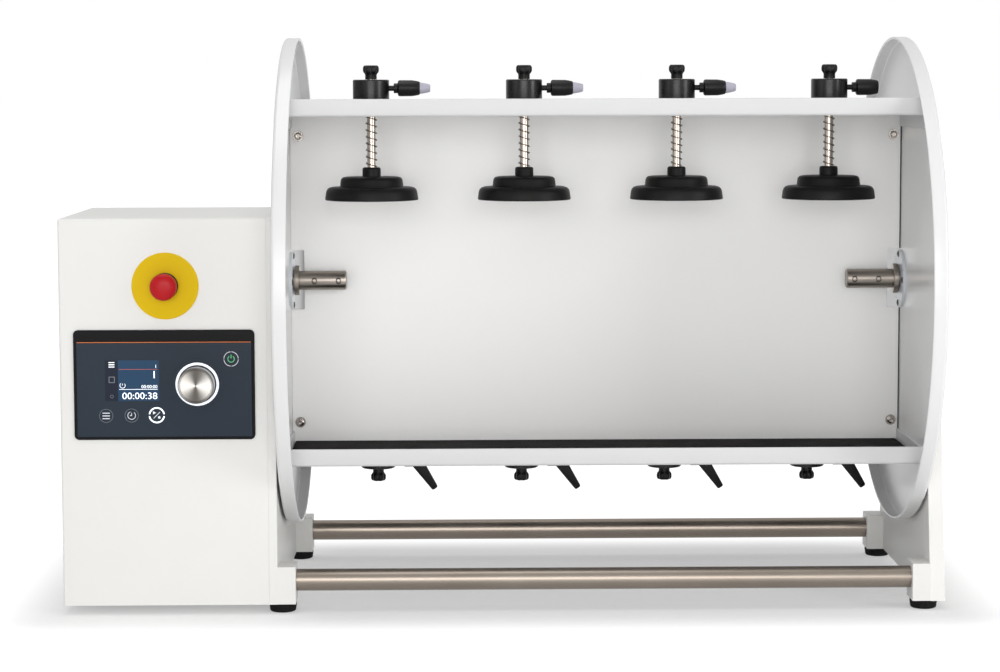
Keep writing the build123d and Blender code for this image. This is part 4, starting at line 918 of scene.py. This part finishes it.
panel_screws = set_screws("panel_screws", [
    ((rack_x + side * 285.9, 6, axis_z + z), toward_front) for side in (-1, 1) for z in (-138, 138)
], washer_head, plated)
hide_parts("rack_screws")
# The stub screws are blackened partly as painted shade, so that their recessed heads read as dark rings.
set_screws("stub_screws", [
    ((rack_x + side * x, -7.6, axis_z), toward_front) for side in (-1, 1) for x in (270.5, 247.5)
], socket_head, blackened, 0.8)
set_screws("hub_screws", [
    ((rack_x + side * 291.6, 23.5 * cos(a), axis_z + 23.5 * sin(a)), (-side, 0, 0))
    for side in (-1, 1) for a in (0, pi / 2, pi, 3 * pi / 2)
], socket_head, blackened, 0.78)
back_screws = set_screws("housing_back_screws", [
    ((hx + 7, back, z), y_way) for z in (48, 191.5, 335)
], socket_head, plated, 0.85, body="stand")
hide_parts("housing_screws")

# ---------------------------------------------------------------- clamps
# Eight spring clamps: a turned black housing bolted on the shelf, a steel rod that slides in it,
# a spring, a wide pad, a small lobed knob on top and a lever that locks the rod. The last lever
# of the top row has no button.
black_turned = coated(
    "black_anodised_aluminium", "#101012", 0.30, Specular_IOR_Level=0.35, grain=0.7, depth=0.006,
    colours=("#0D0D0F", "#141416"), rough=(0.24, 0.36), patch=20)
black_moulded = coated(
    "black_moulded_nylon", "#0F0F0F", 0.42, Specular_IOR_Level=0.25, grain=0.8, depth=0.02,
    colours=("#0C0C0C", "#141313"), rough=(0.36, 0.5), patch=20)
pad_rubber = coated(
    "black_moulded_pad", "#0E0D0D", 0.46, Specular_IOR_Level=0.18, grain=0.9, depth=0.02,
    colours=("#0B0A0A", "#131211"), rough=(0.4, 0.56), patch=40)
lilac = coated(
    "grey_moulded_button", "#B4B2C0", 0.36, grain=0.8, depth=0.01, colours=("#AEACBA", "#BAB8C6"),
    rough=(0.3, 0.42), patch=6)
bright_rod = coated(
    "drawn_stainless_rod", "#B7ACA2", 0.22, 1.0, grain=0.8, depth=0.004, colours=("#AA9F95", "#C4BAB0"),
    rough=(0.15, 0.3), patch=20, stretch=(1, 1, 0.05))
spring_wire = coated(
    "spring_steel_wire", "#7A726A", 0.3, 1.0, grain=0.5, depth=0.01, colours=("#6C645D", "#8A8279"),
    rough=(0.24, 0.4), patch=4)

coil, given = begun(
    "coil_spring", "Spring", Turns="Float", Length="Float", Coil_Radius="Float", Wire_Radius="Float",
    Finish="Material")
spiral = add(coil, "GeometryNodeCurveSpiral", {
    "Resolution": 40, "Rotations": given.outputs["Turns"], "Start Radius": given.outputs["Coil Radius"],
    "End Radius": given.outputs["Coil Radius"], "Height": given.outputs["Length"]})
wire = add(coil, "GeometryNodeCurvePrimitiveCircle", {
    "Resolution": 10, "Radius": given.outputs["Wire Radius"]})
drawn = add(coil, "GeometryNodeCurveToMesh", {
    "Curve": spiral.outputs["Curve"], "Profile Curve": wire.outputs["Curve"], "Fill Caps": True})
ended(coil, given, "Spring", drawn.outputs[0])


def lobed(levels, lobes, depth, origin, upward, steps=96):
    """A turned shape whose sides swell in and out in lobes; each level is (height, radius, lobe share)."""
    verts, faces = [], []
    for height, radius, share in levels:
        for k in range(steps):
            a = 2 * pi * k / steps
            r = radius * (1 - depth * share * (0.5 - 0.5 * cos(lobes * a)) ** 1.5)
            offset = Vector((r * cos(a), r * sin(a), upward * height))
            verts.append((Vector(origin) + offset) * mm)
    for i in range(len(levels) - 1):
        for k in range(steps):
            n = (k + 1) % steps
            faces.append((i * steps + k, i * steps + n, (i + 1) * steps + n, (i + 1) * steps + k))
    faces.append(tuple(reversed(range(steps))))
    faces.append(tuple((len(levels) - 1) * steps + k for k in range(steps)))
    mesh = bpy.data.meshes.new("lobed")
    mesh.from_pydata(verts, [], faces)
    return mesh


def tapered_arm(root, tip, root_size, tip_size, across_dir, edge):
    """A lever arm that narrows from root to tip, with rounded edges."""
    root, tip, across_dir = Vector(root), Vector(tip), Vector(across_dir).normalized()
    along = (tip - root).normalized()
    depth_dir = along.cross(across_dir)
    work = bmesh.new()
    loops = []
    for share in (0, 0.5, 1):
        at = root.lerp(tip, share)
        wide = root_size[0] + (tip_size[0] - root_size[0]) * share
        deep = root_size[1] + (tip_size[1] - root_size[1]) * share
        loops.append([work.verts.new((at + across_dir * a * wide / 2 + depth_dir * b * deep / 2) * mm)
                      for a, b in ((-1, -1), (1, -1), (1, 1), (-1, 1))])
    for low, high in zip(loops, loops[1:]):
        for k in range(4):
            work.faces.new((low[k], low[(k + 1) % 4], high[(k + 1) % 4], high[k]))
    work.faces.new(list(reversed(loops[0])))
    work.faces.new(loops[-1])
    work.normal_update()
    sharp_edges = [e for e in work.edges if e.calc_face_angle(0) > 0.6]
    bmesh.ops.bevel(work, geom=sharp_edges, offset=edge * mm, segments=3, profile=0.5, affect="EDGES")
    mesh = bpy.data.meshes.new("arm")
    work.to_mesh(mesh)
    work.free()
    return mesh


housing_profile = [
    (160, 4.05), (160, 16.4), (160.4, 16.85), (190.4, 16.85), (191.1, 16.5), (191.5, 15.9), (191.5, 5.2),
    (190.9, 4.05)]
pad_profile = [
    (86.0, 0), (80.6, 0), (80.6, 40.2), (80.0, 41.2), (80.0, 42.7), (80.4, 43.2), (81.2, 43.3),
    (87.5, 42.4), (89.6, 41.6), (91.2, 40.0), (92.0, 37.6), (92.0, 29.7), (92.3, 29.5), (98.2, 28.8),
    (99.8, 28.2), (101.0, 26.8), (101.5, 24.6), (101.5, 9.0), (101.8, 8.6), (108.6, 8.5), (109.8, 8.0),
    (110.3, 7.0), (110.3, 4.05), (86.0, 4.05)]
knob_levels = [
    (191.7, 5.4, 0), (196.0, 5.4, 0), (197.0, 5.9, 0.3), (198.2, 6.9, 0.8), (199.6, 7.4, 1),
    (201.6, 7.45, 1), (203.2, 7.2, 1), (204.2, 6.6, 1), (204.7, 5.6, 0.9), (204.6, 4.4, 0.5),
    (204.2, 3.4, 0)]
lever_profile = [
    (4.4, 0), (4.4, 2.5), (20.9, 2.5), (21.2, 4.6), (24.6, 4.6), (25.0, 6.4), (25.8, 7.3), (27.0, 7.5),
    (38.0, 7.4), (42.0, 6.8), (44.6, 6.2), (45.3, 5.6), (45.3, 0)]
seat, pad_top = 158, 110.3           # the shelf's inner face and the pad's hub, from the axis
wire_radius = 0.45
spring_length = seat - pad_top - 2 * wire_radius - 0.5
bare_lever = 4
housings = []
number = 0
for turn in (1, -1):
    for place in (-213, -71, 71, 213):
        number += 1
        x, y = rack_x + place, -66.0 * turn
        upward = (0, 0, turn)
        base = (x, y, axis_z)
        housings.append(turned(housing_profile, base, upward, 96))

        pad = piece(f"clamp_pad_{number}", turned(pad_profile, base, upward, 128), pad_rubber, sharp=40,
                    body=f"plunger_{number}")
        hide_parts(f"pad_{number}")
        rod = piece(f"clamp_rod_{number}", turned(
            [(86, 0), (86, 3.5), (86.5, 4), (192.0, 4), (192.0, 0)], base, upward, 48), bright_rod,
            body=f"plunger_{number}")
        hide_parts(f"spindle_{number}")
        cap = piece(f"clamp_knob_{number}", lobed(knob_levels, 6, 0.16, base, turn), black_moulded, sharp=50,
                    body=f"plunger_{number}")

        spring = grown("spring", coil, {
            "Turns": 7.5, "Length": spring_length * mm, "Coil Radius": 4.95 * mm,
            "Wire Radius": wire_radius * mm, "Finish": spring_wire})
        spring.transform(Matrix.Translation(Vector((x, y, axis_z + turn * 111.0)) * mm)
                         @ Matrix.Rotation(0 if turn > 0 else pi, 4, "X"))
        spring = piece(f"clamp_spring_{number}", spring, spring_wire, sharp=60, body="rack")
        if number == 1:
            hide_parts("clamp_springs")
        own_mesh(spring)

        pivot = (x, y, axis_z + turn * 183.5)
        barrel = turned(lever_profile, pivot, x_way, 64)
        lean_out = radians(16 if turn > 0 else 34)
        if turn > 0:
            way, wide = (sin(lean_out), cos(lean_out), 0), (cos(lean_out), -sin(lean_out), 0)
        else:
            way, wide = (sin(lean_out), 0, -cos(lean_out)), (cos(lean_out), 0, sin(lean_out))
        root = Vector(pivot) + Vector((34.1 if turn > 0 else 36.6, 0, 0))
        tip = root + Vector(way) * 35.5
        arm = tapered_arm(root, tip, (12.5, 11.5), (6.2, 6.2), wide, 1.6)
        lever = piece(f"clamp_lever_{number}", joined([barrel, arm]), black_moulded, sharp=35,
                      body=f"lever_{number}")
        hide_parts(f"lever_{number}")
        if number == bare_lever:
            continue
        button = piece(f"lever_button_{number}", turned(
            [(44.9, 0), (44.9, 5.2), (46.2, 5.3), (51.0, 4.4), (54.2, 3.6), (54.9, 2.9), (55.0, 0)],
            pivot, x_way, 48), lilac, body=f"lever_{number}")

housing = piece("clamp_housing_set", joined(housings), black_turned, body="rack")
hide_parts("clamp_housings")
